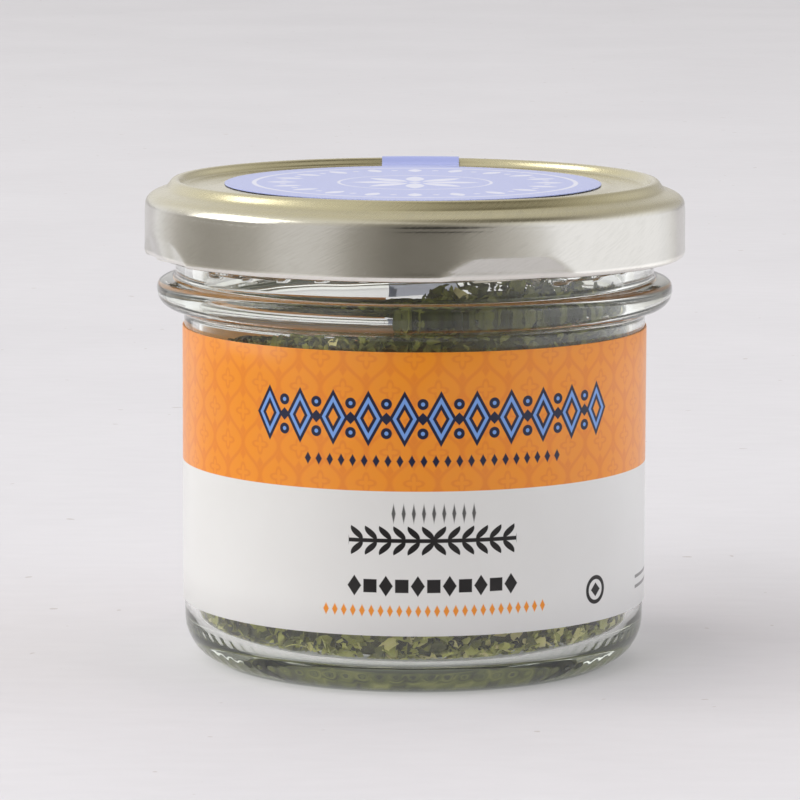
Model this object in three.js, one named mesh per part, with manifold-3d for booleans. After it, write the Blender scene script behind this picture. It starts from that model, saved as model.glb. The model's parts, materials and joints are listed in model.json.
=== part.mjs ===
// A glass jar of dried parsley, closed by a twist-off lid with a paper seal.
// Millimetres, +Z up the jar's axis. The origin is the centre of the base, on the
// surface that the jar stands on. The middle of the label faces -Y, and the seal's
// strip comes down at the back, +Y. Angles run from -Y, positive towards +X.

import * as THREE from 'three';
import Module from 'manifold-3d';
import { mergeVertices } from 'three/addons/utils/BufferGeometryUtils.js';

const wasm = await Module();
wasm.setup();

const TURN = 2 * Math.PI;
const SIDES = 42; // flats round every turned piece, two heel ribs to each
const GAP = 0.05; // air between pieces that rest on each other
const deg = THREE.MathUtils.degToRad;

// The glass jar, outside and inside.
const BODY_R = 28.45;
const FOOT_R = 23.2; // outer edge of the flat ring that the jar stands on
const FOOT_INNER_R = 20.9;
const PUSH_UP = 1.6; // height of the hollow under the base
const HEEL_R = BODY_R - FOOT_R;
const INNER_R = 26.4;
const FLOOR_Z = 3.9;
const FLOOR_EDGE_Z = 3.5;
const INNER_HEEL_WIDE = 2.8; // the inner heel is a quarter of an ellipse
const INNER_HEEL_HIGH = 4.65;
const SHOULDER_Z = 42.5; // where the straight body ends under the bead
const BEAD_R = 31.7;
const BEAD_Z = 46;
const NECK_R = 29.5;
const NECK_BOTTOM_Z = 48.2;
const FINISH_Z = 54.6; // above the threads the neck steps in a little
const RIM_R = 28.9;
const RIM_Z = 57.4;

// Ribs pressed into the heel.
const RIB_COUNT = 84;
const RIB_WIDTH = 0.85;
const RIB_PROUD = 0.28;
const RIB_SUNK = 0.45;
const RIB_FROM = deg(19); // measured up the heel's arc from its lowest point
const RIB_TO = deg(53);
const RIB_FADE = deg(6);

// Four thread ridges, and the lid's four lugs that run under them.
const STARTS = 4;
const LEAD = 9; // rise in one full turn
const THREAD_FROM = deg(-57);
const THREAD_SPAN = deg(110);
const THREAD_TAPER = deg(14);
const THREAD_Z = 49.1; // underside of a ridge at its lower end
const THREAD_HIGH = 1.1;
const THREAD_R = 31.1;
const LUG_AT = deg(20);
const LUG_SPAN = deg(15);
const LUG_R = 30.05;
const LUG_CLEAR = 0.2;
const LUG_THICK = 0.6;

// The lid, pressed from tinplate.
const SHEET = 0.4;
const SKIRT_R = 33.2;
const CURL_R = 33.3;
const CURL_Z = 50.26;
const CURL_HIGH = 0.8;
const SHOULDER_TOP_Z = 57.2;
const LEDGE_R = 32.5;
const LEDGE_Z = 57.75;
const LEDGE_FOOT_R = 30.8;
const LEDGE_FOOT_Z = 58.4;
const STACK_R = 29.5; // ridge round the panel, for stacking
const STACK_Z = 59.4;
const PANEL_R = 28.5;
const PANEL_Z = 58.5;
const SEAT_R = 23.9; // low step that the seal's disc is stuck to
const SEAT_Z = 58.75;

// Label, seal and gasket.
const LABEL_Z = 7.57;
const LABEL_TOP_Z = 41.5;
const LABEL_THICK = 0.25;
const LABEL_OPEN_SIDES = 2; // flats left bare at the back between the label's ends
const SEAL_R = 23.4;
const SEAL_THICK = 0.2;
const STRIP_HALF = 4.95;
const STRIP_STEPS = 4;
const GASKET_INNER_R = 27.1;
const GASKET_OUTER_R = 30.2;

// Parsley.
const HERB_CLEAR = 0.2; // left free inside the glass
const CORE_R = 24.9;
const CORE_SIDES = 20;
const HEAP_Z = 43.1; // height of the heap on the axis
const HEAP_SLOPE = [0.15, -0.068]; // the heap stands higher towards +X and towards -Y
const MOUND_HIGH = 2.7; // a mound against the glass at the front, on the +X side
const MOUND_DEEP = 13;
const MOUND_FROM = [-3.5, 2.5]; // it begins between these two places along X
const FLAKE_THICK = 0.62;
const FLAKE_LENGTH = [4.4, 7.4];
const FLAKE_WIDTH = [2.6, 4.4];

const GLASS = new THREE.MeshStandardMaterial({
  color: 0xdfe8df, roughness: 0.04, metalness: 0, transparent: true, opacity: 0.35,
});
const TINPLATE = new THREE.MeshStandardMaterial({ color: 0xa89f78, roughness: 0.32, metalness: 0.9 });
const COMPOUND = new THREE.MeshStandardMaterial({ color: 0xe8e4d8, roughness: 0.6, metalness: 0 });
const LABEL_PAPER = new THREE.MeshStandardMaterial({ color: 0xf2943c, roughness: 0.45, metalness: 0 });
const SEAL_PAPER = new THREE.MeshStandardMaterial({ color: 0xa9b2dd, roughness: 0.55, metalness: 0 });
const HERB = new THREE.MeshStandardMaterial({ color: 0x7d8348, roughness: 0.85, metalness: 0 });

// ---- Solids -------------------------------------------------------------

/** A closed geometry as a manifold solid with its faces pointing out. */
function solid(geometry) {
  geometry.deleteAttribute('normal');
  geometry.deleteAttribute('uv');
  const merged = mergeVertices(geometry, 1e-4);
  const at = merged.attributes.position.array;
  const corners = [];
  let volume = 0;
  for (let i = 0; i < merged.index.count; i += 3) {
    const [a, b, c] = [0, 1, 2].map((k) => merged.index.getX(i + k));
    if (a === b || b === c || c === a) continue;
    corners.push(a, b, c);
    const [p, q, r] = [a, b, c].map((k) => new THREE.Vector3().fromArray(at, 3 * k));
    volume += p.dot(q.cross(r));
  }
  if (volume < 0) corners.reverse();
  return new wasm.Manifold(new wasm.Mesh({
    numProp: 3, vertProperties: new Float32Array(at), triVerts: new Uint32Array(corners),
  }));
}

/** A manifold solid as a named mesh. */
function piece(name, body, material) {
  const { vertProperties, triVerts } = body.getMesh();
  const geometry = new THREE.BufferGeometry();
  geometry.setAttribute('position', new THREE.BufferAttribute(vertProperties, 3));
  geometry.setIndex(new THREE.BufferAttribute(triVerts, 1));
  geometry.computeVertexNormals();
  const mesh = new THREE.Mesh(geometry, material);
  mesh.name = name;
  return mesh;
}

/** A turned solid: the outline, in pairs of radius and height, goes once round the axis. */
function turned(outline, sides = SIDES) {
  const points = outline.map(([r, z]) => new THREE.Vector2(r, z));
  const geometry = new THREE.LatheGeometry(points, sides);
  geometry.rotateX(Math.PI / 2);
  return solid(geometry);
}

/** A band whose section, a closed loop of points for each step, is carried from the first step to the last. */
function swept(steps, sectionAt) {
  const rings = Array.from({ length: steps + 1 }, (_, i) => sectionAt(i / steps));
  const size = rings[0].length;
  const position = rings.flat().flatMap((p) => p.toArray());
  const index = [];
  for (let i = 0; i < steps; i++) {
    for (let j = 0; j < size; j++) {
      const k = (j + 1) % size;
      const [a, b, c, d] = [i * size + j, i * size + k, (i + 1) * size + k, (i + 1) * size + j];
      index.push(a, b, c, a, c, d);
    }
  }
  const half = size / 2; // a section is a thin strip: its two long sides run opposite ways
  for (let j = 0; j < half - 1; j++) {
    for (const [start, flip] of [[0, true], [steps * size, false]]) {
      const [a, b, c, d] = [j, j + 1, size - 2 - j, size - 1 - j].map((k) => start + k);
      index.push(...(flip ? [a, c, b, a, d, c] : [a, b, c, a, c, d]));
    }
  }
  const geometry = new THREE.BufferGeometry();
  geometry.setAttribute('position', new THREE.Float32BufferAttribute(position, 3));
  geometry.setIndex(index);
  return solid(geometry);
}

/** The point at a radius, an angle and a height. */
function polar(r, angle, z) {
  return new THREE.Vector3(r * Math.sin(angle), -r * Math.cos(angle), z);
}

/** The inner heel from its bottom up to the wall, drawn in by a margin. */
function innerHeel(steps, inset = 0) {
  return Array.from({ length: steps + 1 }, (_, i) => {
    const angle = (Math.PI / 2) * (1 - i / steps);
    return [
      INNER_R - INNER_HEEL_WIDE + (INNER_HEEL_WIDE - inset) * Math.cos(angle),
      FLOOR_EDGE_Z + INNER_HEEL_HIGH - (INNER_HEEL_HIGH - inset) * Math.sin(angle),
    ];
  });
}

/** Points of an arc round a centre, from one angle to another, both included. */
function arc(centreR, centreZ, radius, from, to, steps) {
  return Array.from({ length: steps + 1 }, (_, i) => {
    const angle = THREE.MathUtils.lerp(from, to, i / steps);
    return [centreR + radius * Math.cos(angle), centreZ + radius * Math.sin(angle)];
  });
}

/** Pushes an open outline to its left by a distance, point by point. */
function offset(outline, distance) {
  return outline.map(([r, z], i) => {
    const before = outline[Math.max(i - 1, 0)];
    const after = outline[Math.min(i + 1, outline.length - 1)];
    const along = new THREE.Vector2(after[0] - before[0], after[1] - before[1]).normalize();
    return [r - along.y * distance, z + along.x * distance];
  });
}

// ---- Jar ----------------------------------------------------------------

/** Four ridges that climb round the neck and fade into it at both ends. */
function threads() {
  const steps = 10;
  const ridge = (start) => swept(steps, (t) => {
    const angle = THREE.MathUtils.lerp(0, THREAD_SPAN, t);
    const fade = Math.min(1, angle / THREAD_TAPER, (THREAD_SPAN - angle) / THREAD_TAPER);
    const outer = THREE.MathUtils.lerp(NECK_R - 0.1, THREAD_R, fade);
    const under = THREAD_Z + (LEAD * angle) / TURN;
    const at = THREAD_FROM + (TURN * start) / STARTS + angle;
    return [
      polar(NECK_R - 0.35, at, under), polar(outer, at, under + 0.25),
      polar(outer, at, under + THREAD_HIGH - 0.3), polar(NECK_R - 0.35, at, under + THREAD_HIGH),
    ];
  });
  return wasm.Manifold.union(Array.from({ length: STARTS }, (_, i) => ridge(i)));
}

/** Short upright ribs on the lower part of the heel. */
function heelRibs() {
  const onHeel = (angle, proud) => [
    FOOT_R + (HEEL_R + proud) * Math.sin(angle), HEEL_R - (HEEL_R + proud) * Math.cos(angle),
  ];
  const section = [
    onHeel(RIB_FROM, -RIB_SUNK), onHeel(RIB_FROM + RIB_FADE, RIB_PROUD),
    onHeel(RIB_TO - RIB_FADE, RIB_PROUD), onHeel(RIB_TO, -RIB_SUNK),
  ];
  const shape = new THREE.Shape(section.map(([r, z]) => new THREE.Vector2(r, z)));
  const rib = new THREE.ExtrudeGeometry(shape, { depth: RIB_WIDTH, bevelEnabled: false });
  rib.translate(0, 0, -RIB_WIDTH / 2);
  rib.rotateX(Math.PI / 2);
  const ribs = Array.from({ length: RIB_COUNT }, (_, i) => (
    solid(rib.clone().rotateZ((TURN * (i + 0.5)) / RIB_COUNT))
  ));
  return wasm.Manifold.union(ribs);
}

function glassJar() {
  const quarter = Math.PI / 2;
  const outside = [
    [0, PUSH_UP], [FOOT_R * 0.6, PUSH_UP * 0.85], [FOOT_INNER_R - 1, 0.45], [FOOT_INNER_R, 0],
    ...arc(FOOT_R, HEEL_R, HEEL_R, -quarter, 0, 5),
    [BODY_R, SHOULDER_Z], [BODY_R + 0.9, SHOULDER_Z + 0.65],
    [30.6, 43.8], [31.4, 44.6], [BEAD_R, BEAD_Z - 0.6], [BEAD_R, BEAD_Z + 0.2],
    [31.2, 47.1], [30.5, 47.75], [NECK_R, NECK_BOTTOM_Z],
    [NECK_R, FINISH_Z], [RIM_R, FINISH_Z + 0.8],
  ];
  const rim = [
    [RIM_R, RIM_Z - 0.5], [RIM_R - 0.5, RIM_Z], [INNER_R + 0.8, RIM_Z], [INNER_R, RIM_Z - 0.8],
  ];
  const inside = [...innerHeel(4).reverse(), [0, FLOOR_Z]];
  return turned([...outside, ...rim, ...inside]).add(threads()).add(heelRibs());
}

// ---- Lid ----------------------------------------------------------------

/** The lid's outer face from the centre of the panel down to the top of the curl. */
const lidOutside = [
  [0, SEAT_Z], [SEAT_R, SEAT_Z], [SEAT_R + 0.6, PANEL_Z], [PANEL_R - 0.35, PANEL_Z],
  [PANEL_R + 0.2, PANEL_Z + 0.3], [STACK_R - 0.45, STACK_Z - 0.2], [STACK_R, STACK_Z],
  [STACK_R + 0.4, STACK_Z - 0.15], [LEDGE_FOOT_R - 0.35, LEDGE_FOOT_Z + 0.3],
  [LEDGE_FOOT_R + 0.2, LEDGE_FOOT_Z - 0.05], [LEDGE_R, LEDGE_Z], [SKIRT_R, SHOULDER_TOP_Z],
  [SKIRT_R, CURL_Z + CURL_HIGH + 0.1],
];

/** One inward lug: a slanted plate that follows the slope of the threads. */
function lug(start) {
  const outer = SKIRT_R - SHEET / 2;
  return swept(4, (t) => {
    const angle = LUG_AT + LUG_SPAN * (t - 0.5);
    const top = THREAD_Z + (LEAD * (angle - THREAD_FROM)) / TURN - LUG_CLEAR;
    return [[LUG_R, top - 0.1], [outer, top], [outer, top - LUG_THICK], [LUG_R, top - LUG_THICK]]
      .map(([r, z]) => polar(r, angle + (TURN * start) / STARTS, z));
  });
}

function lidShell() {
  const curl = [
    [CURL_R, CURL_Z + CURL_HIGH - 0.15], [CURL_R, CURL_Z + 0.2], [CURL_R - 0.25, CURL_Z],
    [SKIRT_R - SHEET - 0.1, CURL_Z], [SKIRT_R - SHEET - 0.3, CURL_Z + 0.25],
    [SKIRT_R - SHEET - 0.2, CURL_Z + CURL_HIGH], [SKIRT_R - SHEET, CURL_Z + CURL_HIGH + 0.2],
  ];
  const inside = [
    [SKIRT_R - SHEET, SHOULDER_TOP_Z - 0.15], [LEDGE_R - 0.2, LEDGE_Z - SHEET],
    [LEDGE_FOOT_R - 0.05, LEDGE_FOOT_Z - SHEET - 0.05], [STACK_R + 0.25, STACK_Z - SHEET - 0.1],
    [STACK_R - 0.1, STACK_Z - SHEET - 0.05], [PANEL_R + 0.4, PANEL_Z - SHEET],
    [SEAT_R + 0.4, PANEL_Z - SHEET], [SEAT_R - 0.1, SEAT_Z - SHEET], [0, SEAT_Z - SHEET],
  ];
  const shell = turned([...lidOutside, ...curl, ...inside]);
  return wasm.Manifold.union([shell, ...Array.from({ length: STARTS }, (_, i) => lug(i))]);
}

/** The sealing ring that sits between the glass rim and the lid. */
function lidGasket() {
  const under = PANEL_Z - SHEET - GAP;
  return turned([
    [GASKET_INNER_R, RIM_Z + GAP], [GASKET_OUTER_R, RIM_Z + GAP], [GASKET_OUTER_R, under - 0.1],
    [STACK_R + 0.15, STACK_Z - SHEET - 0.45], [STACK_R - 0.1, STACK_Z - SHEET - 0.45],
    [PANEL_R + 0.6, under], [GASKET_INNER_R, under], [GASKET_INNER_R, RIM_Z + GAP],
  ]);
}

// ---- Label and seal -----------------------------------------------------

function wrapLabel() {
  const sides = SIDES - LABEL_OPEN_SIDES;
  const inner = BODY_R + GAP;
  const outer = inner + LABEL_THICK;
  return swept(sides, (t) => {
    const angle = (TURN * sides * (t - 0.5)) / SIDES;
    return [[inner, LABEL_Z], [outer, LABEL_Z], [outer, LABEL_TOP_Z], [inner, LABEL_TOP_Z]]
      .map(([r, z]) => polar(r, angle, z));
  });
}

/** A paper strip of one width at the back, laid along an outline of radius and height. */
function strip(path, thick) {
  const loop = [...path, ...offset(path, thick).reverse()];
  return swept(STRIP_STEPS, (t) => {
    const x = STRIP_HALF * (2 * t - 1);
    return loop.map(([r, z]) => new THREE.Vector3(x, Math.sqrt(r * r - x * x), z));
  });
}

/** The seal on the lid: a disc on the panel, and a strip over the stacking ridge and down the skirt. */
function sealLabel() {
  const base = SEAT_Z + GAP;
  const disc = turned([[0, base], [SEAL_R, base], [SEAL_R, base + SEAL_THICK], [0, base + SEAL_THICK]]);
  const path = [
    [SEAL_R - 1.4, base + 0.01], [SEAT_R + 0.5, base], [PANEL_R - 0.4, base - 0.05],
    [PANEL_R + 0.3, STACK_Z - 0.15], [STACK_R, STACK_Z + GAP + 0.02], [STACK_R + 0.5, STACK_Z - 0.06],
    [LEDGE_FOOT_R + 0.1, LEDGE_FOOT_Z + 0.2], [LEDGE_R + 0.05, LEDGE_Z + 0.08],
    [SKIRT_R + GAP, SHOULDER_TOP_Z + 0.05], [SKIRT_R + GAP, CURL_Z + CURL_HIGH + 0.35],
  ];
  return disc.add(strip(path, SEAL_THICK - 0.02));
}

/** The seal's end on the glass: from just under the lid's curl, over the bead, to the label's top edge. */
function sealTail() {
  const path = [
    [CURL_R - 0.75, CURL_Z - 0.35], [BEAD_R + 0.25, BEAD_Z + 1.2], [BEAD_R + 0.08, BEAD_Z + 0.2],
    [BEAD_R + 0.08, BEAD_Z - 0.7], [31.5, 44.55], [30.7, 43.7], [BODY_R + 1, SHOULDER_Z + 0.6],
    [BODY_R + 0.3, SHOULDER_Z - 0.05], [BODY_R + 0.12, LABEL_TOP_Z + 0.3],
  ];
  return strip(path, SEAL_THICK);
}

// ---- Parsley ------------------------------------------------------------

/** Repeatable random numbers from 0 to 1. */
function seeded(seed) {
  let state = seed;
  return () => {
    state = (state + 0x6d2b79f5) | 0;
    let t = Math.imul(state ^ (state >>> 15), 1 | state);
    t = (t + Math.imul(t ^ (t >>> 7), 61 | t)) ^ t;
    return ((t ^ (t >>> 14)) >>> 0) / 4294967296;
  };
}

/** Height of the heap: a slope, with a mound against the front of the glass. */
function heapZ(x, y) {
  const side = THREE.MathUtils.smoothstep(x, ...MOUND_FROM);
  const near = Math.exp(-(((y + INNER_R) / MOUND_DEEP) ** 2));
  return HEAP_Z + HEAP_SLOPE[0] * x + HEAP_SLOPE[1] * y + MOUND_HIGH * side * near;
}

/** The room inside the glass that the herb may fill. */
function cavity() {
  const r = INNER_R - HERB_CLEAR;
  return turned([
    [0, FLOOR_Z + HERB_CLEAR], ...innerHeel(3, HERB_CLEAR), [r, RIM_Z - 1], [0, RIM_Z - 1],
  ]);
}

/** One flake: a four-cornered scrap of leaf, flat in XY, with its middle at the origin. */
function flake(random) {
  const between = ([low, high]) => low + (high - low) * random();
  const length = between(FLAKE_LENGTH) / 2;
  const width = between(FLAKE_WIDTH) / 2;
  const skew = (random() - 0.5) * length;
  const corners = [[-length, 0], [skew, -width], [length, 0], [-skew, width]];
  const shape = new THREE.Shape(corners.map(([x, y]) => new THREE.Vector2(x, y)));
  const geometry = new THREE.ExtrudeGeometry(shape, { depth: FLAKE_THICK, bevelEnabled: false });
  geometry.translate(0, 0, -FLAKE_THICK / 2);
  return geometry;
}

/** Turns a flake about its own middle, leans it, and sets it facing along a direction at a point. */
function placed(geometry, random, facing, lean, point) {
  const spin = new THREE.Quaternion().setFromEuler(new THREE.Euler(
    (random() - 0.5) * 2 * lean, (random() - 0.5) * 2 * lean, random() * TURN, 'ZYX',
  ));
  const face = new THREE.Quaternion().setFromUnitVectors(new THREE.Vector3(0, 0, 1), facing);
  geometry.applyQuaternion(face.multiply(spin));
  return solid(geometry.translate(point.x, point.y, point.z));
}

/** The flakes of one band of height against the glass wall. */
function wallFlakes(count, lowZ, highZ, random) {
  return Array.from({ length: count }, (_, i) => {
    const angle = (TURN * (i + random())) / count * 7; // seven rounds, so that neighbours differ in height
    const z = lowZ + (highZ - lowZ) * random();
    const facing = polar(1, angle, 0);
    const r = z < FLOOR_Z + INNER_HEEL_HIGH ? INNER_R - 1.9 : INNER_R - 1.2;
    const reach = Math.min(z, heapZ(r * facing.x, r * facing.y) - 0.6);
    return placed(flake(random), random, facing, deg(38), polar(r, angle, reach));
  });
}

/** The flakes on top of the heap, spread evenly over its round surface. */
function heapFlakes(count, random) {
  return Array.from({ length: count }, (_, i) => {
    const r = (INNER_R - 2.2) * Math.sqrt((i + 0.5) / count);
    const point = polar(r, i * deg(137.5), 0);
    point.z = heapZ(point.x, point.y) - 0.2 + 0.5 * random();
    return placed(flake(random), random, new THREE.Vector3(0, 0, 1), deg(55), point);
  });
}

function driedParsley() {
  const random = seeded(23);
  const topZ = 40;
  const core = new THREE.LatheGeometry([
    [0, FLOOR_Z + 0.6], [CORE_R - 2.2, FLOOR_EDGE_Z + 1], [CORE_R - 0.5, FLOOR_EDGE_Z + 2.6],
    [CORE_R, FLOOR_EDGE_Z + 5], [CORE_R, topZ + 1], [CORE_R * 0.6, topZ + 1], [0, topZ + 1],
  ].map(([r, z]) => new THREE.Vector2(r, z)), CORE_SIDES).rotateX(Math.PI / 2);
  const at = core.attributes.position;
  for (let i = 0; i < at.count; i++) {
    if (at.getZ(i) > topZ) at.setZ(i, heapZ(at.getX(i), at.getY(i)) - 0.5);
  }
  const flakes = [
    ...wallFlakes(30, FLOOR_Z + 1.5, FLOOR_Z + 5.5, random), ...wallFlakes(16, 13, 37, random),
    ...wallFlakes(44, 38, 50, random), ...heapFlakes(56, random),
  ];
  const heap = wasm.Manifold.union([solid(core), ...flakes]).intersect(cavity());
  const bodies = heap.decompose(); // a flake that the others don't reach is left out
  return bodies.reduce((most, body) => (body.volume() > most.volume() ? body : most));
}

// ---- Assembly -----------------------------------------------------------

const jar = new THREE.Group();
jar.add(
  piece('glass_jar', glassJar(), GLASS),
  piece('dried_parsley', driedParsley(), HERB),
  piece('wrap_label', wrapLabel(), LABEL_PAPER),
  piece('seal_tail', sealTail(), SEAL_PAPER),
);

const closure = new THREE.Group();
closure.add(
  piece('lid', lidShell(), TINPLATE),
  piece('lid_gasket', lidGasket(), COMPOUND),
  piece('seal_label', sealLabel(), SEAL_PAPER),
);

const part = new THREE.Group();
part.add(jar, closure);

export default part;
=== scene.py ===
"""The finished surfaces of a glass jar of dried parsley with a twist-off lid and a paper seal.

Lengths are millimetres in the dataclasses and metres in the meshes. Angles run from -Y, the middle of the
label, positive towards +X. Every surface is a grid of two parameters worked out as whole arrays.
"""

import json
import logging
import math
from dataclasses import dataclass, field
from enum import Enum
from typing import Callable

import bpy
import numpy as np
from mathutils import Matrix

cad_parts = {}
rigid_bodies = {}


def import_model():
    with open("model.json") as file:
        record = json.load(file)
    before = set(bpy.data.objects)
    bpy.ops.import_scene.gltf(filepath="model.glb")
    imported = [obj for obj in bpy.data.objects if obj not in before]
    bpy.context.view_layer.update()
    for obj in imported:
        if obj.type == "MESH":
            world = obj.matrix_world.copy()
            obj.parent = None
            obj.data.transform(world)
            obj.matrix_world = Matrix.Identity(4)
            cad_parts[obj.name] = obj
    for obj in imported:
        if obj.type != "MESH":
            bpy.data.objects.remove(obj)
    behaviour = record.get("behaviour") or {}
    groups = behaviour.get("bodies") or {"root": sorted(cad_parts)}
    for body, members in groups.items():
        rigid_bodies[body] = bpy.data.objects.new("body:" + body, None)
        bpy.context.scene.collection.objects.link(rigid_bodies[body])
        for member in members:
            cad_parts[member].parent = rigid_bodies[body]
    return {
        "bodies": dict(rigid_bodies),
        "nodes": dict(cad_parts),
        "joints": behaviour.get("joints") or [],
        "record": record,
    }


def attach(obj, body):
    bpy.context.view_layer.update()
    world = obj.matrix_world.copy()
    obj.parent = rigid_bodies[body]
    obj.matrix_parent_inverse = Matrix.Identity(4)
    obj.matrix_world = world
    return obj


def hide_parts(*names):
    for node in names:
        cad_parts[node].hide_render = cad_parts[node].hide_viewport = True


MM = 0.001
TURN = 2.0 * math.pi
LOG = logging.getLogger("parsley_jar")
Outline = np.ndarray
Colour = tuple[float, float, float]


class Body(Enum):
    """The frame's bodies that the pieces ride on."""

    JAR = "jar"
    GASKET = "gasket"
    LID = "lid"


class Slot(Enum):
    """The record's material slots."""

    GLASS = "clear_glass"
    LEAF = "dried_leaf"
    LABEL = "label_paper"
    SEAL = "seal_paper"
    METAL = "tinplate"
    COMPOUND = "sealing_compound"


def screen(red: float, green: float, blue: float) -> Colour:
    """Turns a screen colour, 0 to 255 a channel, into linear light.

    Args:
        red: Red channel.
        green: Green channel.
        blue: Blue channel.

    Returns:
        The linear colour, ((c + 0.055) / 1.055) to the power 2.4.
    """
    part = (np.array([red, green, blue]) / 255.0 + 0.055) / 1.055
    return tuple(float(v) for v in part**2.4)


# ---- Grids --------------------------------------------------------------


def rounded(outline: list[tuple[float, float]], cuts: int = 3) -> Outline:
    """Rounds an outline's corners by cutting each a quarter of the way along its sides, again and again.

    Args:
        outline: Points of radius and height; the two ends stay where they are.
        cuts: How many times each corner is cut.

    Returns:
        The rounded outline, which tends to a quadratic B-spline of the points.
    """
    points = np.array(outline, float)
    for _ in range(cuts):
        near = 0.75 * points[:-1] + 0.25 * points[1:]
        far = 0.25 * points[:-1] + 0.75 * points[1:]
        middle = np.stack([near, far], axis=1).reshape(-1, 2)
        points = np.concatenate([points[:1], middle[1:-1], points[-1:]])
    return points


def spaced(outline: Outline, spacing: Callable[[Outline], np.ndarray]) -> Outline:
    """Spreads new points along an outline, as close together as spacing asks.

    Args:
        outline: Points of radius and height.
        spacing: Gives the wanted distance between points at each point of an outline.

    Returns:
        Points at equal steps of the running total of length divided by spacing.
    """
    dense_at = np.linspace(0.0, len(outline) - 1.0, 12 * len(outline))
    index = np.arange(len(outline))
    dense = np.stack([np.interp(dense_at, index, outline[:, k]) for k in (0, 1)], axis=1)
    step = np.linalg.norm(np.diff(dense, axis=0), axis=1)
    middle = 0.5 * (dense[1:] + dense[:-1])
    total = np.concatenate([[0.0], np.cumsum(step / spacing(middle))])
    at = np.linspace(0.0, total[-1], int(math.ceil(total[-1])) + 1)
    return np.stack([np.interp(at, total, dense[:, k]) for k in (0, 1)], axis=1)


def arc(centre: tuple[float, float], radius: float, start: float, end: float, steps: int) -> list:
    """Points of a round stretch of an outline.

    Args:
        centre: Radius and height of the arc's centre.
        radius: The arc's radius.
        start: First angle in degrees, from the outward direction.
        end: Last angle in degrees.
        steps: Number of steps between them.

    Returns:
        The centre plus the radius times cosine and sine of each angle.
    """
    angle = np.radians(np.linspace(start, end, steps + 1))
    return [(centre[0] + radius * math.cos(a), centre[1] + radius * math.sin(a)) for a in angle]


def grid_faces(rows: int, cols: int, wrap_rows: bool = False, wrap_cols: bool = False) -> np.ndarray:
    """Four-cornered faces of a grid of rows by cols vertices numbered row by row.

    Args:
        rows: Number of rows.
        cols: Number of columns.
        wrap_rows: Whether the last row joins the first.
        wrap_cols: Whether the last column joins the first.

    Returns:
        An array of faces, each going (row, col), (row, col + 1), (row + 1, col + 1), (row + 1, col).
    """
    r = np.arange(rows if wrap_rows else rows - 1)[:, None]
    c = np.arange(cols if wrap_cols else cols - 1)[None, :]
    r1, c1 = (r + 1) % rows, (c + 1) % cols
    corners = [r * cols + c, r * cols + c1, r1 * cols + c1, r1 * cols + c]
    return np.stack(corners, axis=-1).reshape(-1, 4)


def polar(radius: np.ndarray, angle: np.ndarray, height: np.ndarray) -> np.ndarray:
    """Points from radius, angle and height: x = r sin a, y = -r cos a, z = h."""
    radius, angle, height = np.broadcast_arrays(radius, angle, height)
    return np.stack([radius * np.sin(angle), -radius * np.cos(angle), height], axis=-1)


@dataclass
class Surface:
    """Vertices in millimetres with their faces, and what a material reads at each vertex."""

    points: np.ndarray
    faces: list[np.ndarray]
    uv: np.ndarray | None = None
    tone: np.ndarray | None = None

    def joined(self, other: "Surface") -> "Surface":
        """This surface and another as one, the other's face numbers moved past this one's vertices."""
        shift = len(self.points)

        def both(mine: np.ndarray | None, theirs: np.ndarray | None) -> np.ndarray | None:
            """The two arrays end to end, if there are any."""
            return None if mine is None else np.concatenate([mine, theirs])

        return Surface(
            np.concatenate([self.points, other.points]),
            self.faces + [f + shift for f in other.faces],
            both(self.uv, other.uv),
            both(self.tone, other.tone),
        )


def revolved(radius: np.ndarray, angle: np.ndarray, height: np.ndarray) -> Surface:
    """A closed skin turned about the axis, from one pole on the axis to the other.

    Args:
        radius: Radius for each row and column; the first and last rows are poles and are not read.
        angle: Angle of each column.
        height: Height for each row and column.

    Returns:
        A surface whose inner rows are a grid joined round the axis, with a fan of triangles at each pole.
    """
    rows, cols = radius.shape
    body = polar(radius[1:-1], angle[None, :], height[1:-1]).reshape(-1, 3)
    poles = np.array([[0.0, 0.0, height[0].mean()], [0.0, 0.0, height[-1].mean()]])
    points = np.concatenate([body, poles])
    first, last = len(body), len(body) + 1
    here = np.arange(cols)
    after = (here + 1) % cols
    end = (rows - 3) * cols
    start_fan = np.stack([np.full(cols, first), after, here], axis=1)
    end_fan = np.stack([np.full(cols, last), end + here, end + after], axis=1)
    return Surface(points, [grid_faces(rows - 2, cols, wrap_cols=True), start_fan, end_fan])


def banded(sections: np.ndarray) -> Surface:
    """A closed band from a row of closed sections, with its two ends capped.

    Args:
        sections: Points by section, corner and coordinate; corners run along one side and back on the other.

    Returns:
        The skin of the band, a grid joined along the sections, and a ladder of faces across each end.
    """
    count, size, _ = sections.shape
    half = size // 2
    rung = np.arange(half - 1)
    ladder = np.stack([rung, rung + 1, size - 2 - rung, size - 1 - rung], axis=1)
    faces = [grid_faces(count, size, wrap_cols=True), ladder[:, ::-1], ladder + (count - 1) * size]
    return Surface(sections.reshape(-1, 3), faces)


def paper_strip(path: Outline, thick: float, half_width: float, columns: int) -> Surface:
    """A flat strip of one width laid at the back over an outline of radius and height.

    Args:
        path: The side of the paper that is stuck down.
        thick: The paper's thickness.
        half_width: Half of the strip's width along X.
        columns: Number of points across the strip.

    Returns:
        The band; a point at x lies at y = the square root of radius squared less x squared.
    """
    along = np.gradient(path, axis=0)
    along /= np.linalg.norm(along, axis=1, keepdims=True)
    outer = path + thick * np.stack([-along[:, 1], along[:, 0]], axis=1)
    loop = np.concatenate([path, outer[::-1]])
    x = np.linspace(-half_width, half_width, columns)[:, None]
    y = np.sqrt(loop[None, :, 0] ** 2 - x**2)
    height = np.broadcast_to(loop[None, :, 1], y.shape)
    band = banded(np.stack([np.broadcast_to(x, y.shape), y, height], axis=-1))
    band.tone = np.tile(np.repeat([1.0, 0.0], len(path)), columns)
    return band


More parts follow.
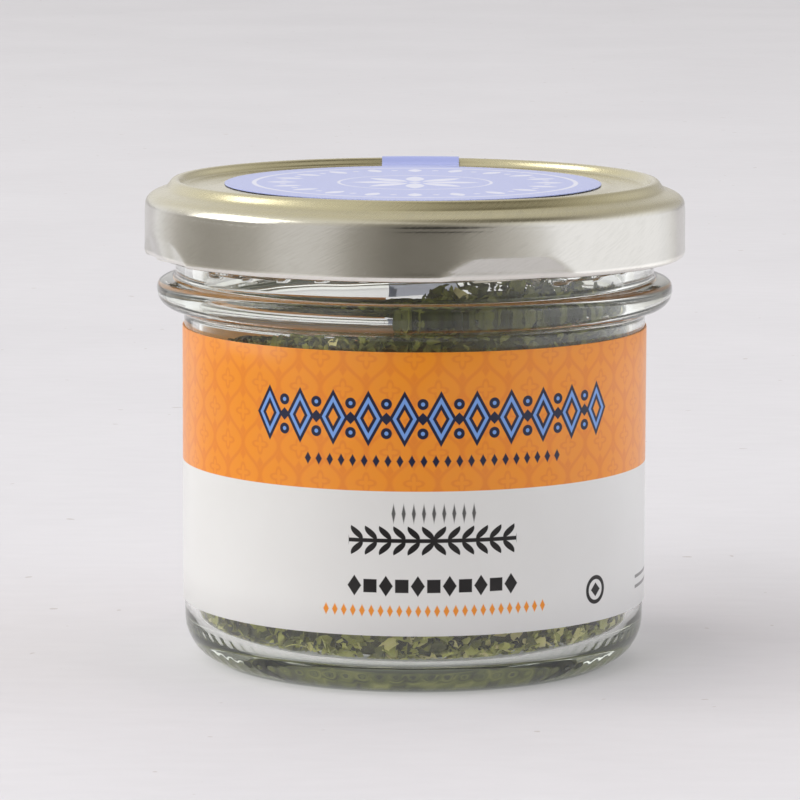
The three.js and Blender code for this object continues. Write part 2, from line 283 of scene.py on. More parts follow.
def add_piece(
    name: str,
    surface: Surface,
    material: bpy.types.Material,
    body: Body,
    replaces: tuple[str, ...] = (),
    sharp: float = 40.0,
) -> bpy.types.Object:
    """Puts a surface into the scene as one piece, with its place in its mesh.

    Args:
        name: The piece's name.
        surface: Its vertices, faces and what the material reads.
        material: The finish.
        body: The body it rides on.
        replaces: Nodes of the frame that it stands for.
        sharp: Edges bent by more than this many degrees are drawn sharp.

    Returns:
        The new object.
    """
    mesh = bpy.data.meshes.new(name)
    faces = [face for block in surface.faces for face in block.tolist()]
    mesh.from_pydata((surface.points * MM).tolist(), [], faces)
    mesh.update()
    corner = np.empty(len(mesh.loops), np.int32)
    mesh.loops.foreach_get("vertex_index", corner)
    if surface.uv is not None:
        layer = mesh.uv_layers.new(name="print")
        layer.data.foreach_set("uv", surface.uv[corner].astype(np.float32).ravel())
    if surface.tone is not None:
        tone = mesh.attributes.new("tone", "FLOAT", "POINT")
        tone.data.foreach_set("value", surface.tone.astype(np.float32))
    turn_outward(mesh)
    mesh.shade_smooth()
    mesh.set_sharp_from_angle(angle=math.radians(sharp))
    mesh.materials.append(material)
    piece = bpy.data.objects.new(name, mesh)
    bpy.context.scene.collection.objects.link(piece)
    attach(piece, body.value)
    if replaces:
        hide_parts(*replaces)
    LOG.info("%s: %d faces", name, len(mesh.polygons))
    return piece


def turn_outward(mesh: bpy.types.Mesh) -> None:
    """Flips every face if the mesh's signed volume, a sixth of the sum of a . (b x c), is negative."""
    mesh.calc_loop_triangles()
    corners = np.empty(3 * len(mesh.loop_triangles), np.int32)
    mesh.loop_triangles.foreach_get("vertices", corners)
    points = np.empty(3 * len(mesh.vertices), np.float32)
    mesh.vertices.foreach_get("co", points)
    a, b, c = points.reshape(-1, 3)[corners.reshape(-1, 3)].astype(float).transpose(1, 0, 2)
    if np.einsum("ij,ij->i", a, np.cross(b, c)).sum() < 0.0:
        mesh.flip_normals()


# ---- Node arithmetic ----------------------------------------------------


class Value:
    """A number that a material works out at each point: a node socket that takes ordinary arithmetic."""

    def __init__(self, tree: bpy.types.NodeTree, socket: bpy.types.NodeSocket) -> None:
        """Keeps the tree that new nodes go into and the socket that holds the number."""
        self.tree = tree
        self.socket = socket

    def math(self, operation: str, *others: "Value | float") -> "Value":
        """One Math node.

        Args:
            operation: The node's operation.
            others: The second and third operands.

        Returns:
            The node's result.
        """
        node = self.tree.nodes.new("ShaderNodeMath")
        node.operation = operation
        for socket, operand in zip(node.inputs, (self, *others)):
            if isinstance(operand, Value):
                self.tree.links.new(operand.socket, socket)
            else:
                socket.default_value = operand
        return Value(self.tree, node.outputs[0])

    def __add__(self, other: "Value | float") -> "Value":
        """The sum."""
        return self.math("ADD", other)

    def __sub__(self, other: "Value | float") -> "Value":
        """The difference."""
        return self.math("SUBTRACT", other)

    def __mul__(self, other: "Value | float") -> "Value":
        """The product."""
        return self.math("MULTIPLY", other)

    def __truediv__(self, other: "Value | float") -> "Value":
        """The quotient."""
        return self.math("DIVIDE", other)

    def __neg__(self) -> "Value":
        """The number with its sign changed."""
        return self * -1.0

    def size(self) -> "Value":
        """The number without its sign."""
        return self.math("ABSOLUTE")

    def folded(self, period: float) -> "Value":
        """Distance to the nearest multiple of a period."""
        return self.math("PINGPONG", 0.5 * period)

    def cell(self, period: float) -> "Value":
        """Place within a period, from minus half of it to plus half of it."""
        return self.math("WRAP", 0.5 * period, -0.5 * period)

    def least(self, other: "Value | float") -> "Value":
        """The smaller of two numbers: the union of two shapes given by distance."""
        return self.math("MINIMUM", other)

    def most(self, other: "Value | float") -> "Value":
        """The greater of two numbers: the overlap of two shapes given by distance."""
        return self.math("MAXIMUM", other)

    def inside(self, edge: float = 0.06) -> "Value":
        """1 where a distance is negative and 0 where it is positive, changing over a short edge."""
        node = self.tree.nodes.new("ShaderNodeMapRange")
        node.interpolation_type = "SMOOTHSTEP"
        self.tree.links.new(self.socket, node.inputs["Value"])
        node.inputs["From Min"].default_value = 0.5 * edge
        node.inputs["From Max"].default_value = -0.5 * edge
        return Value(self.tree, node.outputs["Result"])

    def length(self, other: "Value") -> "Value":
        """Square root of this number squared plus another squared."""
        return (self * self + other * other).math("SQRT")


@dataclass
class Shader:
    """A material's node tree with the few nodes that every finish needs."""

    name: str
    material: bpy.types.Material = field(init=False)
    tree: bpy.types.NodeTree = field(init=False)
    surface: bpy.types.Node = field(init=False)
    output: bpy.types.Node = field(init=False)

    def __post_init__(self) -> None:
        """Makes the material with one Principled shader."""
        self.material = bpy.data.materials.new(self.name)
        self.material.use_nodes = True
        self.tree = self.material.node_tree
        self.surface = self.tree.nodes["Principled BSDF"]
        self.output = self.tree.nodes["Material Output"]

    def node(self, kind: str, **inputs: object) -> bpy.types.Node:
        """A new node.

        Args:
            kind: The node's type after "ShaderNode".
            inputs: Values or sockets for its inputs, underscores standing for spaces.

        Returns:
            The node.
        """
        node = self.tree.nodes.new("ShaderNode" + kind)
        for key, value in inputs.items():
            self.feed(node.inputs[key.replace("_", " ")], value)
        return node

    def feed(self, socket: bpy.types.NodeSocket, value: object) -> None:
        """Sets a socket to a constant, or links it to a socket or a Value."""
        if isinstance(value, Value):
            self.tree.links.new(value.socket, socket)
        elif isinstance(value, bpy.types.NodeSocket):
            self.tree.links.new(value, socket)
        elif isinstance(value, tuple) and len(value) == 3 and socket.type == "RGBA":
            socket.default_value = (*value, 1.0)
        else:
            socket.default_value = value

    def object_point(self, scale: tuple[float, float, float] = (1.0, 1.0, 1.0)) -> bpy.types.NodeSocket:
        """Object coordinates, stretched by a scale along each axis."""
        mapping = self.node("Mapping", Scale=scale)
        self.tree.links.new(self.node("TexCoord").outputs["Object"], mapping.inputs["Vector"])
        return mapping.outputs["Vector"]

    def components(self, vector: bpy.types.NodeSocket) -> tuple[Value, Value, Value]:
        """The three components of a vector."""
        node = self.node("SeparateXYZ", Vector=vector)
        return tuple(Value(self.tree, socket) for socket in node.outputs)

    def print_place(self) -> tuple[Value, Value]:
        """Place on the paper in millimetres, from the piece's own map."""
        node = self.node("UVMap")
        node.uv_map = "print"
        across, up, _ = self.components(node.outputs["UV"])
        return across * (1.0 / MM), up * (1.0 / MM)

    def noise(self, vector: bpy.types.NodeSocket, scale: float, detail: float = 3.0) -> Value:
        """Fractal noise from 0 to 1 at a scale per metre."""
        node = self.node("TexNoise", Vector=vector, Scale=scale, Detail=detail)
        return Value(self.tree, node.outputs["Fac"])

    def blend(self, share: "Value | float", low: object, high: object) -> bpy.types.NodeSocket:
        """A colour that goes from low to high with share.

        Args:
            share: 0 for low, 1 for high.
            low: A colour or a colour socket.
            high: A colour or a colour socket.

        Returns:
            The mixed colour.
        """
        node = self.tree.nodes.new("ShaderNodeMix")
        node.data_type = "RGBA"
        self.feed(node.inputs["Factor"], share)
        self.feed(node.inputs[6], low)
        self.feed(node.inputs[7], high)
        return node.outputs[2]

    def relief(self, height: Value, distance: float, strength: float = 1.0) -> None:
        """Bumps the surface by a height from 0 to 1 times a distance in metres."""
        bump = self.node("Bump", Height=height, Distance=distance, Strength=strength)
        self.feed(self.surface.inputs["Normal"], bump.outputs["Normal"])

    def thin(self, colour: object, share: float) -> None:
        """Makes paper thin: its stuck side, where tone is 1, glows with light that falls on its other side.

        Args:
            colour: What the light is tinted with on its way through: a colour or a socket.
            share: The share of light that a sheet lets pass.
        """
        through = self.node("BsdfTranslucent", Color=colour)
        side = self.node("Attribute")
        side.attribute_name = "tone"
        glow = self.node("MixShader", Fac=Value(self.tree, side.outputs["Fac"]) * 0.85)
        self.tree.links.new(self.surface.outputs[0], glow.inputs[1])
        self.tree.links.new(through.outputs[0], glow.inputs[2])
        rays = self.node("LightPath")
        shadow, diffuse = (Value(self.tree, rays.outputs[f"Is {kind} Ray"]) for kind in ("Shadow", "Diffuse"))
        mix = self.node("MixShader", Fac=shadow.most(diffuse) * share)
        clear = self.node("BsdfTransparent")
        self.tree.links.new(glow.outputs[0], mix.inputs[1])
        self.tree.links.new(clear.outputs[0], mix.inputs[2])
        self.tree.links.new(mix.outputs[0], self.output.inputs["Surface"])

    def set(self, **inputs: object) -> None:
        """Sets inputs of the Principled shader, underscores standing for spaces."""
        for key, value in inputs.items():
            self.feed(self.surface.inputs[key.replace("_", " ")], value)


# ---- Finishes -----------------------------------------------------------


@dataclass(frozen=True)
class ClearGlass:
    """Soda-lime glass, a little green over a long path, with a painted glow: the glass faintly gives off
    light of its own, standing in for light piped along it.
    """

    tint: Colour = (0.985, 0.995, 0.98)
    shadow_tint: Colour = (0.94, 0.965, 0.94)
    body: Colour = (0.52, 0.72, 0.36)
    density: float = 4.5
    painted_glow_colour: Colour = (0.95, 1.0, 0.88)
    painted_glow_power: float = 2.2
    index: float = 1.52

    def build(self) -> bpy.types.Material:
        """Builds the material.

        Returns:
            A transmitting shader with faint moulding waves, mixed with plain transparency for shadow rays.
        """
        shader = Shader("clear_glass")
        shader.set(Base_Color=self.tint, Roughness=0.015, IOR=self.index, Transmission_Weight=1.0)
        waves = shader.noise(shader.object_point((1.0, 1.0, 0.55)), 70.0, 2.0)
        shader.relief(waves, 0.00012, 0.6)
        clear = shader.node("BsdfTransparent", Color=self.shadow_tint)
        rays = shader.node("LightPath")
        mix = shader.node("MixShader", Fac=rays.outputs["Is Shadow Ray"])
        shader.tree.links.new(shader.surface.outputs[0], mix.inputs[1])
        shader.tree.links.new(clear.outputs[0], mix.inputs[2])
        shader.tree.links.new(mix.outputs[0], shader.output.inputs["Surface"])
        depth = shader.node("VolumeAbsorption", Color=self.body, Density=self.density)
        # Painted glow: the glass's volume gives off faint light, standing in for light piped along the glass.
        glow = shader.node("Emission", Color=self.painted_glow_colour, Strength=self.painted_glow_power)
        both = shader.node("AddShader")
        shader.tree.links.new(depth.outputs[0], both.inputs[0])
        shader.tree.links.new(glow.outputs[0], both.inputs[1])
        shader.tree.links.new(both.outputs[0], shader.output.inputs["Volume"])
        return shader.material


@dataclass(frozen=True)
class Tinplate:
    """Lacquered tinplate: pale steel on the skirt, champagne on the top, with fine rolling scratches."""

    steel: Colour = screen(209, 207, 201)
    bare: Colour = screen(238, 235, 228)
    champagne: Colour = screen(192, 184, 148)
    lacquer: Colour = screen(222, 172, 104)
    top_from: float = 56.6
    top_to: float = 57.8
    curl_to: float = 51.05
    roughness: float = 0.21

    def build(self) -> bpy.types.Material:
        """Builds the material.

        Returns:
            A metal whose colour follows height, with scratches that change its roughness and relief.
        """
        shader = Shader("tinplate")
        point = shader.object_point()
        height = shader.components(point)[2] * (1.0 / MM)
        share = ((height - self.top_from) / (self.top_to - self.top_from)).most(0.0).least(1.0)
        mottle = shader.noise(point, 420.0, 4.0)
        rolled_edge = ((-height + self.curl_to) / 0.3).most(0.0).least(1.0)
        colour = shader.blend(rolled_edge, self.steel, self.bare)
        colour = shader.blend(share, colour, self.champagne)
        inner = shader.node("Attribute")
        inner.attribute_name = "tone"
        colour = shader.blend(inner.outputs["Fac"], colour, self.lacquer)
        across, depth, up = shader.components(point)
        turn = across.math("ARCTAN2", -depth) * 33.0
        slanted = shader.node("CombineXYZ")
        shader.feed(slanted.inputs["X"], (turn + up * 700.0) * 0.35)
        shader.feed(slanted.inputs["Y"], (up * 1000.0 - turn * 0.5) * 4.0)
        scratch = shader.noise(slanted.outputs["Vector"], 1.1, 6.0)
        rolled = shader.noise(shader.object_point((1.0, 1.0, 5.0)), 700.0, 4.0)
        dulled = shader.blend((mottle - 0.45) * 0.3 + (scratch - 0.5) * 0.4, colour, (0.36, 0.35, 0.3))
        rough = Value(shader.tree, shader.blend(inner.outputs["Fac"], (self.roughness,) * 3, (0.42,) * 3))
        shader.set(Base_Color=dulled, Metallic=Value(shader.tree, inner.outputs["Fac"]) * -0.8 + 1.0)
        shader.set(Roughness=(scratch - 0.5) * 0.2 + (rolled - 0.5) * 0.1 + share * 0.06 + rough)
        shader.set(Coat_Weight=share * 0.6, Coat_Roughness=0.22, Coat_IOR=1.5)
        shader.relief(scratch * 0.7 + rolled * 0.3, 0.000024, 0.5)
        return shader.material


@dataclass(frozen=True)
class Compound:
    """Off-white sealing compound, dull, with a soft pitted skin."""

    colour: Colour = screen(226, 222, 208)

    def build(self) -> bpy.types.Material:
        """Builds the material.

        Returns:
            A rough plastic with slight mottling and pits.
        """
        shader = Shader("sealing_compound")
        pits = shader.noise(shader.object_point(), 1500.0)
        shader.set(Base_Color=shader.blend(pits, screen(208, 203, 188), self.colour), Roughness=0.6)
        shader.relief(pits, 0.00004)
        return shader.material


@dataclass(frozen=True)
class LeafFinish:
    """Dried leaf: each flake has a tone from dark green over olive to straw, with fine veins."""

    dark: Colour = screen(40, 41, 18)
    mid: Colour = screen(136, 138, 58)
    light: Colour = screen(194, 194, 104)
    straw: Colour = screen(222, 212, 152)

    def build(self) -> bpy.types.Material:
        """Builds the material.

        Returns:
            A dull leaf whose colour ramps over the piece's tone, mottled and veined by noise.
        """
        shader = Shader("dried_leaf")
        tone = shader.node("Attribute")
        tone.attribute_name = "tone"
        point = shader.object_point()
        mottle = shader.noise(point, 900.0, 4.0)
        veins = shader.noise(point, 3200.0, 2.0)
        share = Value(shader.tree, tone.outputs["Fac"]) + (mottle - 0.5) * 0.35
        ramp = shader.node("ValToRGB", Fac=share)
        stops = ramp.color_ramp.elements
        stops[0].position, stops[0].color = 0.0, (*self.dark, 1.0)
        stops[1].position, stops[1].color = 1.0, (*self.straw, 1.0)
        for place, colour in ((0.42, self.mid), (0.78, self.light)):
            stops.new(place).color = (*colour, 1.0)
        shader.set(Base_Color=ramp.outputs["Color"], Roughness=0.72, Sheen_Weight=0.15)
        shader.relief(mottle * 0.6 + veins * 0.4, 0.00012, 0.8)
        return shader.material


@dataclass(frozen=True)
class Sprig:
    """A leaf sprig laid flat: a stem with pairs of pointed leaves."""

    half_length: float
    leaf: float
    pitch: float
    width: float
    stem: float

    def distance(self, across: Value, up: Value) -> Value:
        """Distance to the sprig, negative inside.

        Args:
            across: Place along the stem.
            up: Place across the stem.

        Returns:
            The least of the stem's and the leaves' distances; a leaf is the overlap of two parabolas
            about a line that leans out from the stem.
        """
        side = up.size()
        along = (across.size() - side * 0.8).cell(self.pitch)
        climb = (side - 0.5 * self.leaf) / (0.5 * self.leaf)
        leaves = along.size() - (-(climb * climb) + 1.0) * self.width
        within = across.size() - self.half_length
        stem = (side - self.stem).most(within)
        return leaves.most(side - self.leaf).most(within).least(stem)


@dataclass(frozen=True)
class LabelPrint:
    """The wrap label: orange band with a tone-on-tone trellis, navy frieze, and plain ornaments on white."""

    white: Colour = screen(221, 221, 220)
    orange: Colour = screen(233, 144, 46)
    deep_orange: Colour = screen(217, 118, 49)
    navy: Colour = screen(28, 33, 60)
    sky: Colour = screen(120, 160, 226)
    black: Colour = screen(26, 24, 25)
    # Colours of the light let through the paper. Above 1 they add a painted glow, brighter than the light
    # that falls on it.
    through_white_and_glow: Colour = (1.25, 1.25, 1.18)
    through_orange_and_glow: Colour = (1.1, 0.74, 0.3)
    band_from: float = 24.95
    middle: float = 2.4
    frieze_middle: float = 3.2

    def build(self) -> bpy.types.Material:
        """Builds the material.

        Returns:
            Satin paper whose colour is the ground with each ornament laid over it in turn.
        """
        shader = Shader("label_paper")
        across, up = shader.print_place()
        band = shader.blend(self.trellis(across, up).inside(0.3) * 0.5, self.orange, self.deep_orange)
        colour = shader.blend((-up + self.band_from).inside(), self.white, band)
        for distance, ink, strength in self.ornaments(across, up):
            colour = shader.blend(distance.inside(0.09) * strength, colour, ink)
        cloud = shader.noise(shader.object_point(), 160.0, 3.0)
        worn = shader.blend((cloud - 0.35).most(0.0) * 0.10, colour, (0.42, 0.40, 0.38))
        shader.set(Base_Color=worn, Roughness=0.28, Specular_IOR_Level=0.3)
        shader.relief(cloud, 0.00001, 0.4)
        in_band = (-up + self.band_from).inside(0.5)
        shader.thin(shader.blend(in_band, self.through_white_and_glow, self.through_orange_and_glow), 0.4)
        return shader.material

    def ornaments(self, across: Value, up: Value) -> list[tuple[Value, Colour, float]]:
        """Every printed ornament as its distance, ink and strength, in the order that they are printed."""
        x = across - self.middle
        return [
            *self.frieze(across - self.frieze_middle, up - 33.6),
            (self.beads(x - 0.2, up - 28.55, 16.4, 1.42, 0.42, 0.74), self.navy, 1.0),
            (self.beads(x, up - 22.3, 5.4, 1.2, 0.24, 1.15), self.black, 0.88),
            (Sprig(10.2, 1.75, 1.7, 0.5, 0.24).distance(x, up - 19.05), self.black, 1.0),
            (self.bars(x, up - 13.6), self.black, 1.0),
            (self.beads(x - 0.4, up - 10.6, 14.2, 1.12, 0.36, 0.72), self.orange, 1.0),
            (self.medallion(across - 24.95, up - 11.5), self.black, 1.0),
            *self.side_panels(across, up),
        ]

    @staticmethod
    def trellis(across: Value, up: Value) -> Value:
        """A net of waved lines with a four-lobed flower and two buds in every mesh.

        Args:
            across: Place round the label.
            up: Height on it.

        Returns:
            Distance to the lines. The net is |x| = p / 4 - (p / 4) cos(turn y / h) in cells p wide; a
            flower's outline is r = 0.8 + 0.3 cos(4 angle) about the middle of its mesh.
        """
        pitch, row, line = 5.7, 7.4, 0.2
        wave = (up * (TURN / row)).math("COSINE") * (0.25 * pitch)
        net = ((across.cell(pitch).size() - 0.25 * pitch + wave) * 0.66).size()
        for shift in (0.0, 0.5):
            x = (across - shift * pitch).cell(pitch)
            y = (up - (0.5 - shift) * row).cell(row)
            lobes = (y.math("ARCTAN2", x) * 4.0).math("COSINE") * 0.3
            flower = (x.length(y) - 0.8 - lobes).size()
            bud = (x.size() * 1.5 + (y.size() - 2.3).size() - 0.42) * 0.6
            net = net.least(flower).least(bud)
        return net - line

    @staticmethod
    def row_of(x: Value, y: Value, pitch: float, wide: float, tall: float) -> Value:
        """Distance to the outlines of lozenges in a row, wide by tall about their middles."""
        cell = x.cell(pitch)
        steep = 1.0 / math.hypot(1.0 / wide, 1.0 / tall)
        return ((cell.size() * (1.0 / wide) + y.size() * (1.0 / tall) - 1.0) * steep).size()

    def frieze(self, x: Value, y: Value) -> list[tuple[Value, Colour, float]]:
        """A row of tall lozenges between pairs of rings, broad navy lines with a light blue inline."""
        pitch, half = 4.32, 23.76
        lozenge = self.row_of(x, y, pitch, 1.22, 2.2)
        between = (x - 0.5 * pitch).cell(pitch)
        ring = between.length(y.size() - 1.75)
        core = (between.size() + y.size() - 0.62) * 0.7
        among = x.size() - (half - 1.0)
        outer = (ring - 0.66).least(core - 0.1).most(among).least((lozenge - 0.55).most(x.size() - half))
        inner = (ring - 0.24).most(among).least((lozenge - 0.19).most(x.size() - half))
        return [(outer, self.navy, 1.0), (inner, self.sky, 0.97)]

    @staticmethod
    def beads(x: Value, y: Value, half: float, pitch: float, wide: float, tall: float) -> Value:
        """A row of small lozenges: |x| / wide + |y| / tall less 1, repeated along x up to half each way."""
        cell = x.cell(pitch)
        lozenge = (cell.size() * (1.0 / wide) + y.size() * (1.0 / tall) - 1.0) * (0.6 * min(wide, tall))
        return lozenge.most(x.size() - half)

    @staticmethod
    def bars(x: Value, y: Value) -> Value:
        """Short thick bars with a lozenge between each two, all in one row."""
        pitch = 3.8
        bar = (x.cell(pitch).size() - 0.8).most(y.size() - 0.8)
        gem = ((x - 0.5 * pitch).cell(pitch).size() * 1.5 + y.size() - 1.25) * 0.6
        return bar.least(gem).most(x.size() - 10.4)

    @staticmethod
    def medallion(x: Value, y: Value) -> Value:
        """A ring round a lozenge."""
        ring = (x.length(y) - 1.5).size() - 0.25
        lozenge = (x.size() + y.size() - 0.85) * 0.7
        return ring.least(lozenge)

    def side_panels(self, x: Value, y: Value) -> list[tuple[Value, Colour, float]]:
        """Ruled panels round the sides of the label, where the small print goes."""
        panels = []
        for centre, half, high in ((41.5, 6.0, 12.2), (58.0, 8.5, 22.1), (-60.0, 12.0, 22.1)):
            rows = (y - 0.2).folded(1.25) - 0.2
            sides = (x - centre).size() - half
            panels.append((rows.most(sides).most(-(y - 9.2)).most(y - high), self.black, 0.75))
        for centre in (58.0, -60.0):
            panels.append((((x - centre).size() - 8.5).most((y - 28.4).size() - 0.3), self.navy, 0.8))
        return panels


@dataclass(frozen=True)
class SealPrint:
    """The paper seal: lavender blue with white rings, dots, small leaves and a rosette."""

    ground: Colour = screen(156, 165, 214)
    ink: Colour = screen(212, 214, 228)

    def build(self) -> bpy.types.Material:
        """Builds the material.

        Returns:
            Satin paper printed in one ink, by distance from the disc's centre and the angle round it.
        """
        shader = Shader("seal_paper")
        x, y = shader.print_place()
        radius = x.length(y)
        angle = y.math("ARCTAN2", x)
        colour = self.ground
        for distance in self.marks(radius, angle):
            colour = shader.blend(distance.inside(0.16) * 0.85, colour, self.ink)
        fibre = shader.noise(shader.object_point(), 2200.0, 4.0)
        shader.set(Base_Color=colour, Roughness=fibre * 0.08 + 0.2, Specular_IOR_Level=0.14)
        shader.relief(fibre, 0.00001, 0.4)
        shader.thin((0.78, 0.79, 0.86), 0.6)
        return shader.material

    @staticmethod
    def marks(radius: Value, angle: Value) -> list[Value]:
        """The white marks: an outer ring, a wreath of leaves and dots, an inner ring and a rosette."""
        ring = (radius - 19.8).size() - 0.28
        inner = (radius - 9.4).size() - 0.18
        arc_cell = angle.cell(TURN / 20.0) * 16.4
        reach = (radius - 16.4) / 1.9
        wreath = arc_cell.size() - (-(reach * reach) + 1.0) * 0.85
        dots = ((angle - TURN / 40.0).cell(TURN / 20.0) * 16.4).length(radius - 16.4) - 0.42
        petal_reach = (radius - 4.6) / 3.3
        petal = (angle.cell(TURN / 8.0) * radius).size() - (-(petal_reach * petal_reach) + 1.0) * 1.15
        eye = radius - 0.7
        return [ring, inner, wreath.most(reach.size() - 1.0), dots, petal.most(petal_reach.size() - 1.0), eye]


# ---- Jar ----------------------------------------------------------------


@dataclass
class GlassJar:
    """The jar: straight body, round heel with pressed ribs, bead, and a neck with four thread ridges."""

    body_r: float = 28.45
    foot_r: float = 23.2
    push_up: float = 1.6
    inner_r: float = 26.4
    floor_z: float = 3.95
    floor_edge: float = 3.55
    heel_wide: float = 1.8
    heel_high: float = 2.8
    bead_r: float = 31.78
    bead_z: float = 45.8
    neck_r: float = 29.5
    rim_r: float = 28.9
    rim_z: float = 57.4
    columns: int = 504
    ribs: int = 84
    rib_proud: float = 0.08
    thread_starts: int = 4
    thread_lead: float = 9.0
    thread_from: float = math.radians(-57.0)
    thread_span: float = math.radians(110.0)
    thread_fade: float = math.radians(7.0)
    thread_z: float = 49.65
    thread_half: float = 0.56
    thread_proud: float = 1.6

    def outside(self) -> list[tuple[float, float]]:
        """The outer outline from the centre of the base up to the rim."""
        heel = self.body_r - self.foot_r
        return [
            (0.0, self.push_up), (10.0, 1.5), (16.5, 1.15), (19.4, 0.55), (20.4, 0.1), (21.0, 0.0),
            (22.9, 0.0),
            *arc((self.foot_r, heel), heel, -84.0, 0.0, 10),
            (self.body_r, 9.0), (self.body_r, 41.0), (self.body_r, 42.7), (self.body_r + 0.06, 43.1),
            (28.75, 43.42), (29.2, 43.6), (29.8, 43.74), (30.5, 43.96), (31.15, 44.38), (31.6, 45.0),
            (self.bead_r, self.bead_z), (self.bead_r, 46.35), (31.65, 46.8), (31.4, 47.08), (31.05, 47.22),
            (30.5, 47.29), (29.95, 47.34), (29.62, 47.42), (self.neck_r, 47.6), (self.neck_r, 48.1),
            (self.neck_r, 54.0), (self.neck_r - 0.1, 54.7), (self.rim_r, 55.3), (self.rim_r, 56.4),
            (self.rim_r, 57.15), (self.rim_r - 0.3, self.rim_z + 0.03),
        ]

    def inside(self) -> list[tuple[float, float]]:
        """The inner outline from the rim down to the centre of the floor."""
        r = self.inner_r
        turn = np.radians(np.linspace(0.0, 86.0, 10))
        heel = [
            (r - self.heel_wide * (1.0 - math.cos(a)), self.floor_edge + self.heel_high * (1.0 - math.sin(a)))
            for a in turn
        ]
        return [
            (28.0, self.rim_z + 0.03), (27.3, self.rim_z), (26.75, 57.0), (r, 55.8), (r, 54.0), (r, 45.0),
            (r, 30.0), (r, 11.0), *heel, (20.0, self.floor_edge + 0.05), (9.0, self.floor_z - 0.1),
            (0.0, self.floor_z),
        ]

    @staticmethod
    def spacing(at: Outline) -> np.ndarray:
        """Wanted distance between rows: fine on the heel, the bead and the threads, coarse on the walls."""
        radius, height = at[:, 0], at[:, 1]
        wanted = np.full(len(at), 3.0)
        wanted[(radius > 20.0) & (height < 8.0)] = 0.42
        wanted[(height > 42.0) & (height < 48.6)] = 0.3
        wanted[(height >= 48.6) & (radius > 28.8)] = 0.26
        wanted[(height > 55.0)] = 0.4
        wanted[(radius < 26.6) & (height < 12.0) & (height > 3.3) & (radius > 22.0)] = 0.45
        return wanted

    def ridge(self, angle: np.ndarray, height: np.ndarray) -> np.ndarray:
        """How far the thread ridges stand out.

        Args:
            angle: Angle of each point.
            height: Height of each point.

        Returns:
            The sum over the starts of a rounded bump about a helix, faded at both ends.
        """
        proud = np.zeros(np.broadcast(angle, height).shape)
        for start in range(self.thread_starts):
            along = (angle - self.thread_from - TURN * start / self.thread_starts) % TURN
            fade = np.clip(np.minimum(along, self.thread_span - along) / self.thread_fade, 0.0, 1.0)
            middle = self.thread_z + self.thread_lead * along / TURN
            off = np.clip(np.abs(height - middle) / self.thread_half, 0.0, 1.0)
            proud += self.thread_proud * np.sin(0.5 * math.pi * fade) * (1.0 - off**3) ** 1.5
        return proud

    def rib(self, angle: np.ndarray, height: np.ndarray) -> np.ndarray:
        """How far the heel's ribs stand out: a cosine round the heel times a bump from 0.2 to 2.4 mm up."""
        up = np.clip((height - 0.2) / 2.2, 0.0, 1.0)
        bump = np.sin(math.pi * up) ** 0.7
        return self.rib_proud * bump * (0.5 + 0.5 * np.cos(self.ribs * angle))

    def build(self, glass: bpy.types.Material) -> bpy.types.Object:
        """Builds the jar.

        Args:
            glass: Its finish.

        Returns:
            The piece: both outlines turned about the axis, the ridges and ribs added to the outer radius, and
            slow waves of a few hundredths of a millimetre added to the inner one.
        """
        outer = spaced(rounded(self.outside(), 2), self.spacing)
        inner = spaced(rounded(self.inside(), 2), self.spacing)
        outline = np.concatenate([outer, inner])
        angle = np.arange(self.columns) * (TURN / self.columns)
        radius = np.repeat(outline[:, :1], self.columns, axis=1)
        height = np.repeat(outline[:, 1:], self.columns, axis=1)
        is_outer = (np.arange(len(outline)) < len(outer))[:, None]
        neck = is_outer & (height > 48.0) & (height < 55.2)
        radius += np.where(neck, self.ridge(angle[None, :], height), 0.0)
        heel = is_outer & (radius > self.foot_r) & (height < 3.0)
        radius += np.where(heel, self.rib(angle[None, :], height), 0.0)
        waves = 0.05 * np.sin(3.0 * angle + 0.11 * height) + 0.035 * np.sin(7.0 * angle - 0.23 * height)
        wall = ~is_outer & (height < 55.0) & (radius > 25.0)
        radius += np.where(wall, waves - 0.05, 0.0)
        return add_piece(
            "jar_glass", revolved(radius, angle, height), glass, Body.JAR, ("glass_jar",), 50.0
        )


@dataclass
class Room:
    """The room inside the glass, which the herb fills."""

    radius: float = 26.15
    floor: float = 3.8
    heel_wide: float = 1.7
    heel_high: float = 2.75
    heap_z: float = 41.6
    slope: tuple[float, float] = (0.15, -0.055)
    mound: float = 2.9
    mound_deep: float = 13.0
    swell: float = 0.28
    mound_from: tuple[float, float] = (-3.5, 2.5)
    rim: float = 2.1
    rim_wide: float = 3.0

    def reach(self, height: np.ndarray) -> np.ndarray:
        """Largest radius free at a height: the straight wall, or the heel's quarter ellipse below it."""
        down = np.clip((self.floor + self.heel_high - height) / self.heel_high, 0.0, 1.0)
        return self.radius - self.heel_wide * (1.0 - np.sqrt(1.0 - down**2))

    def top(self, x: np.ndarray, y: np.ndarray) -> np.ndarray:
        """Height of the heap: a slope, a mound at the front on the +X side, a clinging rim and lumps."""
        start, end = self.mound_from
        side = np.clip((x - start) / (end - start), 0.0, 1.0)
        side = side * side * (3.0 - 2.0 * side) * (1.0 + self.swell * np.exp(-(((x - 10.0) / 6.0) ** 2)))
        near = np.exp(-(((y + self.radius) / self.mound_deep) ** 2))
        radius = np.hypot(x, y)
        front = np.clip((-y / np.maximum(radius, 1.0) - 0.62) / 0.2, 0.0, 1.0)
        rim = self.rim * front * np.exp(-(((self.radius - radius) / self.rim_wide) ** 2))
        lumps = 0.3 * np.sin(0.31 * x + 1.3) * np.cos(0.27 * y + 0.4) + 0.2 * np.sin(0.8 * x - 0.6 * y)
        return self.heap_z + self.slope[0] * x + self.slope[1] * y + self.mound * side * near + rim + lumps


@dataclass
class FlakeKind:
    """One size of flake: how its sheet is cut and curled."""

    corners: int
    length: tuple[float, float]
    width: tuple[float, float]
    curl: float
    ragged: float
    thick: float = 0.07


